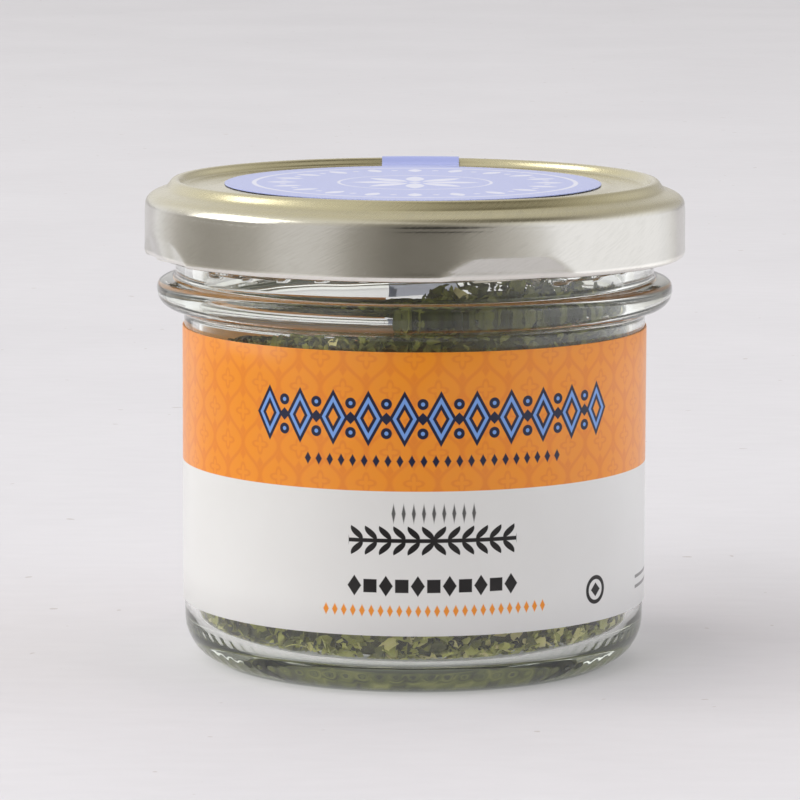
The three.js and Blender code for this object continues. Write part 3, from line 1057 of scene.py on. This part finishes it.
@dataclass
class Parsley:
    """The dried parsley: broad flakes and crumbs in the places that show, over an inner heap kept dark as
    painted shade.
    """

    room: Room = field(default_factory=Room)
    broad: FlakeKind = field(default_factory=lambda: FlakeKind(4, (1.5, 3.6), (0.9, 2.3), 0.55, 0.33))
    crumb: FlakeKind = field(default_factory=lambda: FlakeKind(3, (0.7, 2.0), (0.25, 1.2), 0.3, 0.35))
    seed: int = 41

    def places(self, rng: np.random.Generator, counts: dict[str, int]) -> tuple[np.ndarray, np.ndarray]:
        """Draws flake centres and the ways that they face.

        Args:
            rng: The random draw.
            counts: How many flakes go low on the wall, high on it, at the label's gap, on the heap and on the
                floor.

        Returns:
            Centres and unit facings, one row a flake.
        """
        centres, facings = [], []
        bands = {"low": (4.0, 12.0, TURN), "high": (36.5, 50.0, TURN), "gap": (10.0, 41.0, 0.36)}
        for band, (low, high, sweep) in bands.items():
            n = counts[band]
            angle = rng.uniform(-0.5 * sweep, 0.5 * sweep, n) + math.pi
            height = rng.uniform(low, high, n)
            depth = rng.exponential(0.55, n)
            radius = self.room.reach(height) - depth
            spot = polar(radius, angle, height)
            top = self.room.top(spot[:, 0], spot[:, 1])
            spot[:, 2] = np.minimum(spot[:, 2], top - rng.uniform(-0.3, 3.0, n))
            lean = np.clip((7.0 - height) / 3.5, 0.0, 1.0)
            out = polar(np.cos(0.9 * lean), angle, -np.sin(0.9 * lean))
            centres.append(spot)
            facings.append(out)
        for band, facing in (("heap", 1.0), ("floor", -1.0)):
            n = counts[band]
            radius = self.room.radius * np.sqrt(rng.uniform(0.0, 1.0, n))
            spot = polar(radius, rng.uniform(0.0, TURN, n), 0.0)
            top = self.room.top(spot[:, 0], spot[:, 1]) + rng.uniform(-1.0, 0.2, n)
            spot[:, 2] = top if facing > 0.0 else self.room.floor + rng.exponential(0.6, n)
            centres.append(spot)
            facings.append(np.tile([0.0, 0.0, facing], (n, 1)))
        return np.concatenate(centres), np.concatenate(facings)

    def flakes(self, kind: FlakeKind, counts: dict[str, int], lean: float, seed: int) -> Surface:
        """Makes the flakes of one kind as closed thin shells.

        Args:
            kind: How each is cut and curled.
            counts: How many go in each place.
            lean: Spread of the lean away from the facing, in radians.
            seed: Seed of the draw.

        Returns:
            All the flakes in one surface. A flake's sheet is x = L s (1 - 0.25 t^2), y = W t (1 - 0.45 s^2),
            each shaken, with z = a s^2 + b t^2 + c s t, and its back is the same sheet a thickness below.
        """
        rng = np.random.default_rng(seed)
        centre, facing = self.places(rng, counts)
        count, k = len(centre), kind.corners
        s, t = np.meshgrid(np.linspace(-1.0, 1.0, k), np.linspace(-1.0, 1.0, k), indexing="ij")
        size = rng.beta(1.6, 2.2, (2, count, 1, 1)) * np.where(centre[:, 2] > 38.0, 0.46, 1.0)[:, None, None]
        length = 0.5 * (kind.length[0] + (kind.length[1] - kind.length[0]) * size[0])
        width = 0.5 * (kind.width[0] + (kind.width[1] - kind.width[0]) * size[1])
        shake = rng.uniform(-kind.ragged, kind.ragged, (3, count, k, k))
        x = length * (s * (1.0 - 0.25 * t**2) + shake[0])
        y = width * (t * (1.0 - 0.45 * s**2) + shake[1])
        bend = rng.normal(0.0, kind.curl, (3, count, 1, 1))
        z = width * (bend[0] * s**2 + bend[1] * t**2 + 0.6 * bend[2] * s * t) + 0.12 * shake[2]
        sheet = np.stack([x, y, z], axis=-1).reshape(count, k * k, 3)
        turn = self.turns(rng, facing, lean)
        both = np.stack([sheet, sheet - np.array([0.0, 0.0, kind.thick])], axis=1)
        points = np.einsum("nij,nlvj->nlvi", turn, both) + centre[:, None, None, :]
        points = self.kept_inside(points)
        tone = self.tones(rng, count, centre)
        return Surface(
            points.reshape(-1, 3),
            [self.shell_faces(k, count)],
            tone=np.repeat(tone, 2 * k * k),
        )

    @staticmethod
    def turns(rng: np.random.Generator, facing: np.ndarray, lean: float) -> np.ndarray:
        """Turning matrices: the third column is the facing, leaned at random, and the first spins freely."""
        up = facing + rng.normal(0.0, lean, facing.shape)
        up /= np.linalg.norm(up, axis=1, keepdims=True)
        side = np.cross(up, rng.normal(size=facing.shape))
        side /= np.linalg.norm(side, axis=1, keepdims=True)
        return np.stack([side, np.cross(up, side), up], axis=-1)

    @staticmethod
    def shell_faces(k: int, count: int) -> np.ndarray:
        """Faces of a two-sided k by k sheet, for count sheets one after another."""
        top = grid_faces(k, k)
        index = np.arange(k * k).reshape(k, k)
        edge = np.concatenate([index[0, :-1], index[:-1, -1], index[-1, :0:-1], index[:0:-1, 0]])
        after = np.roll(edge, -1)
        rim = np.stack([edge, after, after + k * k, edge + k * k], axis=1)
        one = np.concatenate([top[:, ::-1], top + k * k, rim])
        return (one[None] + (np.arange(count) * 2 * k * k)[:, None, None]).reshape(-1, 4)

    def kept_inside(self, points: np.ndarray) -> np.ndarray:
        """Pulls points in: scales each radius down to the room's reach and lifts heights to the floor."""
        points[..., 2] = np.maximum(points[..., 2], self.room.floor + 0.05)
        radius = np.hypot(points[..., 0], points[..., 1])
        scale = np.minimum(1.0, self.room.reach(points[..., 2]) / np.maximum(radius, 1e-6))
        points[..., :2] *= scale[..., None]
        return points

    @staticmethod
    def tones(rng: np.random.Generator, count: int, centre: np.ndarray) -> np.ndarray:
        """A tone for each flake: mostly olive, some dark, a few straw, and darker in the shade at the top."""
        # Painted shade: the tone darkens and straw flakes thin out towards the top, where the lid shades the
        # herb.
        high = np.clip((centre[:, 2] - 30.0) / 8.0, 0.0, 1.0)
        tone = rng.normal(0.5, 0.28, count) * (1.0 - 0.6 * high)
        straw = rng.uniform(size=count) < 0.05 - 0.035 * high
        return np.clip(np.where(straw, rng.uniform(0.85, 1.0, count), tone), 0.0, 1.0)

    def inner_heap(self) -> Surface:
        """The heap behind the flakes: the room drawn in by 1.2 mm, lumpy, from the floor to the top."""
        rows, cols = 60, 160
        angle = np.arange(cols) * (TURN / cols)
        up = np.linspace(0.0, 1.0, rows)[:, None]
        lift = np.clip((up - 0.18) / 0.62, 0.0, 1.0)
        reach = np.where(up < 0.18, up / 0.18, np.where(up > 0.8, (1.0 - up) / 0.2, 1.0))
        low = self.room.floor + 0.35
        wide = (self.room.radius - 1.2) * np.clip(reach, 0.0, 1.0)
        x, y = wide * np.sin(angle), -wide * np.cos(angle)
        height = low + lift * (self.room.top(x, y) - 0.9 - low)
        free = self.room.reach(height) - 1.0
        lumps = 0.25 * np.sin(23.0 * angle + 2.0 * height) * np.sin(1.7 * height + 5.0 * angle)
        radius = np.minimum(wide * np.ones_like(angle), free) + np.where(reach >= 1.0, lumps, 0.0)
        surface = revolved(radius, angle, height)
        # Painted shade: the heap gets an even dark tone for the depth of the herb.
        surface.tone = np.full(len(surface.points), 0.12)
        return surface

    def dust(self) -> Surface:
        """Fine dust on the jar's floor, a hair inside the glass.

        Returns:
            A thin closed disc that reaches further out at the front and the back by a bell curve of x, with
            painted shade in its tone:
            dark in the middle and at those stretched ends, mottled lighter in a ring between.
        """
        rings = np.array([
            [0.0, 3.84], [9.0, 3.74], [13.0, 3.66], [20.4, 3.49],
            [20.4, 3.45], [13.0, 3.62], [9.0, 3.7], [0.0, 3.8],
        ])
        rings = spaced(rings, lambda at: np.full(len(at), 0.7))
        angle = np.arange(120) * (TURN / 120)
        surface = revolved(np.repeat(rings[:, :1], 120, axis=1), angle, np.repeat(rings[:, 1:], 120, axis=1))
        away = np.hypot(surface.points[:, 0], surface.points[:, 1])
        stretch = 5.0 * np.clip((away - 19.0) / 1.4, 0.0, 1.0) * np.exp(-((surface.points[:, 0] / 9.0) ** 2))
        surface.points[:, :2] *= (1.0 + stretch / np.maximum(away, 1.0))[:, None]
        # Painted shade: the tone stays dark in the middle and at the stretched ends, lighter only in the ring
        # between.
        light = np.clip((away - 12.5) / 2.0, 0.0, 1.0) * np.clip((21.0 - away - stretch) / 2.0, 0.0, 1.0)
        surface.tone = np.random.default_rng(self.seed + 2).uniform(0.0, 0.18 + 0.5 * light)
        return surface

    def build(self, leaf: bpy.types.Material) -> None:
        """Builds the heap, the dust under it, the broad flakes and the crumbs.

        Args:
            leaf: Their finish.
        """
        broad = {"low": 700, "high": 1050, "gap": 200, "heap": 950, "floor": 400}
        crumb = {"low": 1300, "high": 1850, "gap": 400, "heap": 2050, "floor": 600}
        heap = add_piece("parsley_heap", self.inner_heap(), leaf, Body.JAR)
        large = add_piece(
            "parsley_flakes", self.flakes(self.broad, broad, 0.42, self.seed), leaf, Body.JAR
        )
        small = add_piece(
            "parsley_crumbs", self.flakes(self.crumb, crumb, 0.6, self.seed + 1), leaf, Body.JAR
        )
        dust = add_piece("parsley_dust", self.dust(), leaf, Body.JAR)
        for piece in (heap, large, small, dust):
            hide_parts("dried_parsley")


@dataclass
class WrapLabel:
    """The paper label round the body, open at the back."""

    inner_r: float = 28.4
    thick: float = 0.26
    low: float = 7.57
    high: float = 41.5
    span: float = math.radians(360.0 * 40.0 / 42.0)
    columns: int = 361

    def build(self, paper: bpy.types.Material) -> bpy.types.Object:
        """Builds the label.

        Args:
            paper: Its print and finish.

        Returns:
            The piece: a thin closed section with rounded edges swept round the body.
        """
        outer = self.inner_r + self.thick
        edge = 0.06
        face = np.linspace(self.low + edge, self.high - edge, 9)
        back = np.linspace(self.high, self.low, 11)
        section = np.concatenate([
            [[outer - 0.04, self.low]],
            np.stack([np.full(9, outer), face], axis=1),
            [[outer - 0.04, self.high]],
            np.stack([np.full(11, self.inner_r), back], axis=1),
        ])
        angle = np.linspace(-0.5 * self.span, 0.5 * self.span, self.columns)
        points = polar(section[None, :, 0], angle[:, None], section[None, :, 1])
        surface = banded(points)
        across = np.broadcast_to(angle[:, None] * outer * MM, points.shape[:2])
        up = np.broadcast_to(section[None, :, 1] * MM, points.shape[:2])
        surface.uv = np.stack([across, up], axis=-1).reshape(-1, 2)
        surface.tone = np.tile(np.repeat([0.0, 1.0], 11), self.columns)
        return add_piece("label", surface, paper, Body.JAR, ("wrap_label",))


# ---- Lid and seal -------------------------------------------------------


@dataclass
class Lid:
    """The pressed lid: panel, stacking ridge, ledge, skirt, rolled curl and four lugs."""

    columns: int = 288
    lugs: int = 4
    lug_at: float = math.radians(20.0)
    lug_half: float = math.radians(7.5)
    lug_inner: float = 30.1
    lug_clear: float = 0.2
    lug_thick: float = 0.6
    dent: float = 0.55
    dent_half: float = math.radians(11.0)
    dent_fade: float = math.radians(9.0)

    @staticmethod
    def outline() -> list[tuple[float, float]]:
        """The outline from the panel's upper face, down the skirt, round the curl and back up inside."""
        return [
            (0.0, 58.75), (12.0, 58.75), (22.8, 58.75), (23.8, 58.75), (24.3, 58.6), (24.9, 58.5),
            (26.5, 58.5), (28.1, 58.5), (28.6, 58.62), (28.85, 59.05), (29.05, 59.4), (29.5, 59.53),
            (29.95, 59.38),
            (30.3, 58.88), (30.65, 58.4), (31.1, 58.2), (32.0, 57.88), (32.6, 57.58), (32.97, 57.2),
            (33.15, 56.82), (33.22, 56.5), (33.19, 56.32), (33.25, 56.05), (33.26, 54.0), (33.27, 52.0),
            (33.28, 51.3), (33.31, 51.05), (33.31, 50.86), (33.2, 50.48), (33.06, 50.27), (32.8, 50.2),
            (32.5, 50.28), (32.35, 50.6), (32.4, 51.0), (32.7, 51.3), (32.75, 52.0), (32.75, 56.3),
            (32.6, 56.8), (32.2, 57.18), (31.6, 57.5), (30.95, 57.78), (30.45, 58.22), (30.0, 58.8),
            (29.5, 59.08), (29.1, 58.85), (28.75, 58.3), (28.2, 58.1), (25.2, 58.1), (24.4, 58.12),
            (23.8, 58.33), (12.0, 58.35), (0.0, 58.35),
        ]

    @staticmethod
    def spacing(at: Outline) -> np.ndarray:
        """Wanted distance between rows: fine at the ridge and the curl, coarse on the panel."""
        radius, height = at[:, 0], at[:, 1]
        wanted = np.full(len(at), 0.6)
        wanted[radius < 23.0] = 3.0
        wanted[(radius > 28.0) & (height > 56.0)] = 0.16
        wanted[(radius > 28.0) & (height < 53.0)] = 0.16
        return wanted

    def near_lug(self, angle: np.ndarray, half: float, fade: float) -> np.ndarray:
        """1 at a lug, 0 away from it, with a smooth step of the given width at both sides."""
        quarter = TURN / self.lugs
        off = np.abs((angle - self.lug_at + 0.5 * quarter) % quarter - 0.5 * quarter)
        t = np.clip((half + 0.5 * fade - off) / fade, 0.0, 1.0)
        return t * t * (3.0 - 2.0 * t)

    def shell(self) -> Surface:
        """The pressed sheet: the outline turned about the axis, pushed in at each lug.

        Returns:
            The sheet; at a lug it is pushed in below a line that rises towards the lug's middle.
        """
        outline = spaced(rounded(self.outline(), 2), self.spacing)
        angle = np.arange(self.columns) * (TURN / self.columns)
        radius = np.repeat(outline[:, :1], self.columns, axis=1)
        height = np.repeat(outline[:, 1:], self.columns, axis=1)
        near = self.near_lug(angle, self.dent_half, self.dent_fade)[None, :]
        low = np.clip((51.3 + 1.9 * near - height) / 1.9, 0.0, 1.5)
        pushed = self.dent * low * np.minimum(4.0 * near, 1.0)
        radius -= np.where(radius > 31.0, pushed, 0.0)
        surface = revolved(radius, angle, height)
        inner = np.arange(len(outline)) > np.argmin(np.where(outline[:, 0] > 32.0, outline[:, 1], 99.0))
        inner &= outline[:, 1] > 50.9
        surface.tone = np.concatenate([np.repeat(inner[1:-1].astype(float), self.columns), [0.0, 1.0]])
        return surface

    def lug(self, start: int, jar: GlassJar) -> Surface:
        """One lug: a slanted plate with a round inner edge that follows the thread's slope.

        Args:
            start: Number of the lug, counted round the lid.
            jar: The jar, for the threads' slope.

        Returns:
            The closed plate.
        """
        t = np.linspace(-1.0, 1.0, 17)
        angle = self.lug_at + self.lug_half * t
        under = jar.thread_z - 0.55 + jar.thread_lead * (angle - jar.thread_from) / TURN
        middle = under - self.lug_clear - 0.5 * self.lug_thick
        turn = np.radians(np.linspace(90.0, 270.0, 9))
        nose = 0.5 * self.lug_thick
        inner = self.lug_inner + 0.5 * t**4
        radius = inner[:, None] + nose + nose * np.cos(turn)[None, :]
        height = middle[:, None] + nose * np.sin(turn)[None, :]
        root_r = np.full((17, 1), 32.2)
        radius = np.concatenate([root_r, radius, root_r], axis=1)
        height = np.concatenate([height[:, :1], height, height[:, -1:]], axis=1)
        points = polar(radius, (angle + TURN * start / self.lugs)[:, None], height)
        size = points.shape[1]
        fan = np.stack([np.zeros(size - 2, int), np.arange(1, size - 1), np.arange(2, size)], axis=1)
        faces = [grid_faces(17, size, wrap_cols=True), fan[:, ::-1], fan + 16 * size]
        return Surface(points.reshape(-1, 3), faces, tone=np.zeros(17 * size))

    def build(self, metal: bpy.types.Material, jar: GlassJar) -> bpy.types.Object:
        """Builds the lid.

        Args:
            metal: Its finish.
            jar: The jar, for the threads' slope.

        Returns:
            The piece: the pressed sheet and its lugs.
        """
        surface = self.shell()
        for start in range(self.lugs):
            surface = surface.joined(self.lug(start, jar))
        return add_piece("lid_tinplate", surface, metal, Body.LID, ("lid",), 55.0)


@dataclass
class Gasket:
    """The ring of sealing compound that lies in the lid on the glass rim."""

    inner_r: float = 27.1
    outer_r: float = 30.2
    low: float = 57.46
    high: float = 58.02

    def build(self, compound: bpy.types.Material) -> bpy.types.Object:
        """Builds the ring.

        Args:
            compound: Its finish.

        Returns:
            The piece: a closed rounded section turned about the axis.
        """
        section = rounded([
            (28.6, self.low), (self.inner_r + 0.2, self.low), (self.inner_r, 57.7),
            (self.inner_r + 0.2, self.high), (29.0, self.high), (29.35, 58.5), (29.65, 58.5), (30.0, 57.95),
            (self.outer_r, 57.7), (self.outer_r - 0.2, self.low), (28.6, self.low),
        ])[:-1]
        cols = 192
        angle = np.arange(cols) * (TURN / cols)
        points = polar(section[:, :1], angle[None, :], section[:, 1:])
        faces = [grid_faces(len(section), cols, wrap_rows=True, wrap_cols=True)]
        ring = Surface(points.reshape(-1, 3), faces)
        return add_piece("gasket_ring", ring, compound, Body.GASKET, ("lid_gasket",))


@dataclass
class Seal:
    """The paper seal: a disc on the lid's panel, a strip down to its curl, and the end left on the glass."""

    disc_r: float = 23.2
    disc_z: float = 58.8
    thick: float = 0.16
    half_width: float = 4.95
    disc_x: float = -0.25
    strip_x: float = 0.7
    tail_x: float = 1.1

    def disc(self) -> Surface:
        """The disc: rings out over the top, round the edge and back in under it."""
        top = self.disc_z + self.thick
        rings = rounded([
            (0.0, top), (8.0, top), (16.0, top), (self.disc_r - 0.3, top), (self.disc_r, top - 0.01),
            (self.disc_r, self.disc_z), (self.disc_r - 0.3, self.disc_z), (10.0, self.disc_z),
            (0.0, self.disc_z),
        ], 2)
        angle = np.arange(240) * (TURN / 240)
        radius = np.repeat(rings[:, :1], 240, axis=1)
        height = np.repeat(rings[:, 1:], 240, axis=1)
        disc = self.moved(revolved(radius, angle, height), self.disc_x)
        disc.tone = np.zeros(len(disc.points))
        return disc

    @staticmethod
    def moved(surface: Surface, x: float) -> Surface:
        """The surface moved along X."""
        surface.points = surface.points + np.array([x, 0.0, 0.0])
        return surface

    def strip_path(self) -> Outline:
        """The stuck side of the strip, from the disc over the stacking ridge and down the skirt."""
        return rounded([
            (self.disc_r - 0.05, self.disc_z), (24.2, self.disc_z), (26.4, 58.68), (27.9, 58.72),
            (28.6, 59.16), (29.1, 59.44), (29.6, 59.53), (30.1, 59.38), (30.6, 58.95), (31.4, 58.5),
            (32.3, 58.12),
            (33.05, 57.7), (33.3, 57.0), (33.3, 56.2), (33.32, 54.0), (33.33, 51.7),
        ], 2)

    def tail_path(self) -> Outline:
        """The stuck side of the end on the glass, from under the curl, over the bead, to the label's edge."""
        return rounded([
            (32.6, 49.9), (32.15, 48.2), (31.88, 46.9), (31.85, 46.0), (31.66, 45.0), (31.2, 44.4),
            (30.5, 43.92), (29.8, 43.68), (29.2, 43.52), (28.8, 43.3), (28.6, 42.9), (28.58, 42.4),
            (28.58, 41.8),
        ], 2)

    @staticmethod
    def with_flat_map(surface: Surface) -> Surface:
        """Maps the print straight down on to the paper, x and y in metres."""
        surface.uv = surface.points[:, :2] * MM
        return surface

    def build(self, paper: bpy.types.Material) -> None:
        """Builds the disc with its strip, and the end on the glass.

        Args:
            paper: Their print and finish.
        """
        strip = self.moved(paper_strip(self.strip_path(), self.thick, self.half_width, 21), self.strip_x)
        top = self.with_flat_map(self.disc()).joined(self.with_flat_map(strip))
        add_piece("seal_disc", top, paper, Body.LID, ("seal_label",))
        end = self.moved(paper_strip(self.tail_path(), self.thick, self.half_width, 21), self.tail_x)
        tail = self.with_flat_map(end)
        add_piece("seal_end", tail, paper, Body.JAR, ("seal_tail",))


# ---- Studio -------------------------------------------------------------


@dataclass
class Studio:
    """Camera, lights, and a pale sweep with a low lit wall round it, out of the picture."""

    distance: float = 0.5679
    height: float = 0.1109
    pitch: float = math.radians(7.92)
    yaw: float = math.radians(0.178)
    roll: float = math.radians(0.174)
    lens: float = 208.2
    around: tuple[tuple[float, float], ...] = (
        (-180.0, 0.9), (-152.0, 0.95), (-141.0, 1.08), (-132.0, 1.0), (-122.0, 0.76), (-108.0, 0.5),
        (-90.0, 0.39), (-72.0, 0.46), (-50.0, 0.82), (-36.0, 0.78), (-22.0, 0.37), (-8.0, 0.22),
        (12.0, 0.24), (26.0, 0.46), (40.0, 0.65), (50.0, 0.86), (60.0, 1.24), (116.0, 1.22), (126.0, 1.08),
        (136.0, 0.86), (148.0, 0.64), (160.0, 0.56), (172.0, 0.76), (180.0, 0.9),
    )
    lamps: tuple[tuple, ...] = (
        ("window_left", (-2.3, -0.05, 1.3), (0.0, 0.0, 0.02), (1.9, 1.7), 31.0, (1.0, 0.99, 0.97)),
        ("backdrop", (0.3, 1.5, 1.9), (0.0, 1.3, 0.0), (2.6, 1.6), 7.3, (0.99, 0.98, 1.0)),
        ("fill_front", (-0.75, -0.95, 1.0), (0.0, -0.02, 0.03), (1.0, 0.8), 8.0, (1.0, 0.985, 1.0)),
        ("fill_right", (1.1, -0.1, 0.7), (0.03, 0.0, 0.02), (1.0, 0.8), 3.2, (0.97, 0.97, 1.05)),
    )

    def camera(self) -> None:
        """A long lens a little above the lid, looking down on the front of the label."""
        data = bpy.data.cameras.new("camera")
        data.lens, data.sensor_width = self.lens, 36.0
        data.clip_start, data.clip_end = 0.01, 50.0
        camera = bpy.data.objects.new("camera", data)
        bpy.context.scene.collection.objects.link(camera)
        camera.matrix_world = (
            Matrix.Translation((0.0, -self.distance, self.height))
            @ Matrix.Rotation(self.yaw, 4, "Z")
            @ Matrix.Rotation(0.5 * math.pi - self.pitch, 4, "X")
            @ Matrix.Rotation(self.roll, 4, "Z")
        )
        bpy.context.scene.camera = camera

    @staticmethod
    def staged(name: str, points: np.ndarray, material: bpy.types.Material, pictured: bool = True) -> None:
        """A sheet that is no part of the jar.

        Args:
            name: Its name.
            points: A grid of points in metres, row by row.
            material: Its finish.
            pictured: Whether the camera sees it; if not, only mirrors, glass and the light on things do.
        """
        mesh = bpy.data.meshes.new(name)
        faces = grid_faces(points.shape[0], points.shape[1])[:, ::-1]
        mesh.from_pydata(points.reshape(-1, 3).tolist(), [], faces.tolist())
        mesh.shade_smooth()
        mesh.materials.append(material)
        sheet = bpy.data.objects.new(name, mesh)
        bpy.context.scene.collection.objects.link(sheet)
        sheet.visible_camera = pictured

    def sweep(self) -> None:
        """Floor and backdrop in one curved sheet: flat, then a quarter circle, then upright."""
        bend_y, bend_r = 2.0, 0.8
        flat = [(-3.0, 0.0), (-1.0, 0.0), (-0.3, 0.0), (0.3, 0.0), (bend_y, 0.0)]
        turn = np.linspace(0.1, 0.5 * math.pi, 12)[:6]
        rise = np.stack([bend_y + bend_r * np.sin(turn), bend_r * (1.0 - np.cos(turn))], axis=1)
        path = np.concatenate([flat, rise])
        x = np.linspace(-3.0, 3.0, 13)
        points = np.stack(np.broadcast_arrays(x[:, None], path[None, :, 0], path[None, :, 1]), axis=-1)
        self.staged("studio_sweep", points, self.plaster())

    def low_wall(self) -> None:
        """A low ramp round the jar, open at the back, which the lid's skirt mirrors; it is never pictured."""
        radius, height = np.array([[0.13, 0.25, 0.5, 0.503]]), np.array([[0.0, 0.033, 0.088, 0.0]])
        angle = np.radians(np.linspace(-138.0, 138.0, 139))
        corners = polar(radius, angle[:, None], height)
        shader = Shader("studio_wall")
        x, y, _ = shader.components(shader.object_point())
        level = self.level_at(shader.tree, x, y)
        shader.set(Base_Color=(0.0, 0.0, 0.0), Roughness=1.0, Specular_IOR_Level=0.0)
        shader.set(Emission_Color=self.tint(shader.tree, level), Emission_Strength=level)
        self.staged("studio_wall", corners, shader.material, pictured=False)

    def level_at(self, tree: bpy.types.NodeTree, x: Value, y: Value) -> Value:
        """Light level in a direction over the ground, from the table of angles and levels.

        Args:
            tree: The node tree.
            x: The direction's part along +X.
            y: The direction's part along +Y.

        Returns:
            The level.
        """
        turn = x.math("ARCTAN2", -y) * (1.0 / TURN) + 0.5
        ramp = tree.nodes.new("ShaderNodeValToRGB")
        ramp.color_ramp.interpolation = "EASE"
        tree.links.new(turn.socket, ramp.inputs["Fac"])
        stops = ramp.color_ramp.elements
        while len(stops) > 1:
            stops.remove(stops[-1])
        top = 1.25
        for number, (angle, level) in enumerate(self.around):
            place = angle / 360.0 + 0.5
            stop = stops[0] if number == 0 else stops.new(place)
            stop.position, stop.color = place, (level / top, level / top, level / top, 1.0)
        return Value(tree, ramp.outputs["Color"]) * top

    @staticmethod
    def tint(tree: bpy.types.NodeTree, level: Value) -> bpy.types.NodeSocket:
        """The light's colour: warm where it is dim, a little cool where it is bright."""
        ramp = tree.nodes.new("ShaderNodeValToRGB")
        tree.links.new((level * 0.8).socket, ramp.inputs["Fac"])
        stops = ramp.color_ramp.elements
        stops[0].position, stops[0].color = 0.14, (1.0, 0.93, 0.79, 1.0)
        stops[1].position, stops[1].color = 0.9, (0.985, 0.985, 1.01, 1.0)
        return ramp.outputs["Color"]

    @staticmethod
    def plaster() -> bpy.types.Material:
        """Pale plaster with clouds, brush marks and specks. It has a painted glow under and round the jar's
        foot, standing in for light the glass would pipe down, and a painted contact shadow in a dark ring
        under the foot's rim.
        """
        shader = Shader("studio_plaster")
        point = shader.object_point()
        cloud = shader.noise(point, 14.0, 5.0)
        marks = shader.noise(shader.object_point((1.0, 3.0, 1.0)), 120.0, 4.0)
        speck = (shader.noise(point, 330.0, 1.0) - 0.225).inside(0.02)
        ground = shader.blend(cloud * 0.6 + marks * 0.4, screen(203, 202, 206), screen(220, 219, 223))
        x, y, _ = shader.components(point)
        away = x.length(y)
        # Painted contact shadow: a dark ring on the floor under the foot's rim.
        rim = ((away - 0.0229).size() - 0.0016).inside(0.0008)
        ground = shader.blend(speck * 0.35, ground, (0.30, 0.24, 0.20))
        ground = shader.blend(rim * 0.7, ground, (0.05, 0.05, 0.05))
        shader.set(Base_Color=ground, Roughness=0.85)
        # Painted glow: the floor gives off light under the jar and in a band round its foot.
        glow = (away - 0.02).inside(0.002) * 0.3 + (away - 0.03).inside(0.017) * 0.12
        shader.set(Emission_Color=(1.0, 0.99, 0.96), Emission_Strength=glow)
        shader.relief(marks, 0.0002, 0.4)
        return shader.material

    @staticmethod
    def area(
        name: str, place: tuple, target: tuple, size: tuple, power: float, colour: Colour, mirrored: bool
    ) -> None:
        """A soft rectangular light.

        Args:
            name: Its name.
            place: Where it is, in metres.
            target: The point that it faces.
            size: Width and height.
            power: Watts.
            colour: Its colour.
            mirrored: Whether shiny surfaces show it.
        """
        data = bpy.data.lights.new(name, "AREA")
        data.shape, data.size, data.size_y = "RECTANGLE", size[0], size[1]
        data.energy, data.color = power, colour
        light = bpy.data.objects.new(name, data)
        light.visible_glossy = mirrored
        bpy.context.scene.collection.objects.link(light)
        away = Matrix.Translation(place).to_translation() - Matrix.Translation(target).to_translation()
        light.matrix_world = Matrix.Translation(place) @ away.to_track_quat("Z", "Y").to_matrix().to_4x4()

    def world(self) -> None:
        """Room light: the table's level near the ground, and a soft ceiling that is brighter to the left."""
        world = bpy.data.worlds.new("room")
        bpy.context.scene.world = world
        world.use_nodes = True
        tree = world.node_tree
        background = tree.nodes["Background"]
        place = tree.nodes.new("ShaderNodeTexCoord")
        split = tree.nodes.new("ShaderNodeSeparateXYZ")
        tree.links.new(place.outputs["Generated"], split.inputs["Vector"])
        x, y, z = (Value(tree, socket) for socket in split.outputs)
        front = (y * -1.6).most(0.0).least(1.0)
        share = (-z + 0.5 + front * 0.4).inside(0.5)
        patch = ((x - 0.28).length(y + 0.05) - 0.36).inside(0.32)
        ceiling = x * -0.38 - patch * 0.46 + 0.82
        shade = ((x - 0.18).length((z - 0.27) * 1.3) - 0.34).inside(0.12) * (y * -4.0).most(0.0).least(1.0)
        low = self.level_at(tree, x, y) * (shade * -0.85 + 1.0)
        level = low + (ceiling - low) * share
        tree.links.new(level.socket, background.inputs["Strength"])
        tree.links.new(self.tint(tree, level), background.inputs["Color"])

    def build(self) -> None:
        """Builds the camera, the sweep, the room light and the lamps, and sets the view transform."""
        self.camera()
        self.sweep()
        self.low_wall()
        self.world()
        for name, place, target, size, power, colour in self.lamps:
            self.area(name, place, target, size, power, colour, mirrored=name == "window_left")
        settings = bpy.context.scene.view_settings
        settings.view_transform = "Standard"
        settings.look = "None"
        settings.exposure = 0.0


def main() -> None:
    """Builds every piece round the frame, in order."""
    logging.basicConfig(level=logging.INFO, format="%(name)s %(message)s")
    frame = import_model()
    logging.getLogger("scene").info("frame holds %s", frame)
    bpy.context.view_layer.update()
    Studio().build()
    jar = GlassJar()
    jar.build(ClearGlass().build())
    Parsley().build(LeafFinish().build())
    WrapLabel().build(LabelPrint().build())
    Lid().build(Tinplate().build(), jar)
    Gasket().build(Compound().build())
    Seal().build(SealPrint().build())


if __name__ == "__main__":
    main()
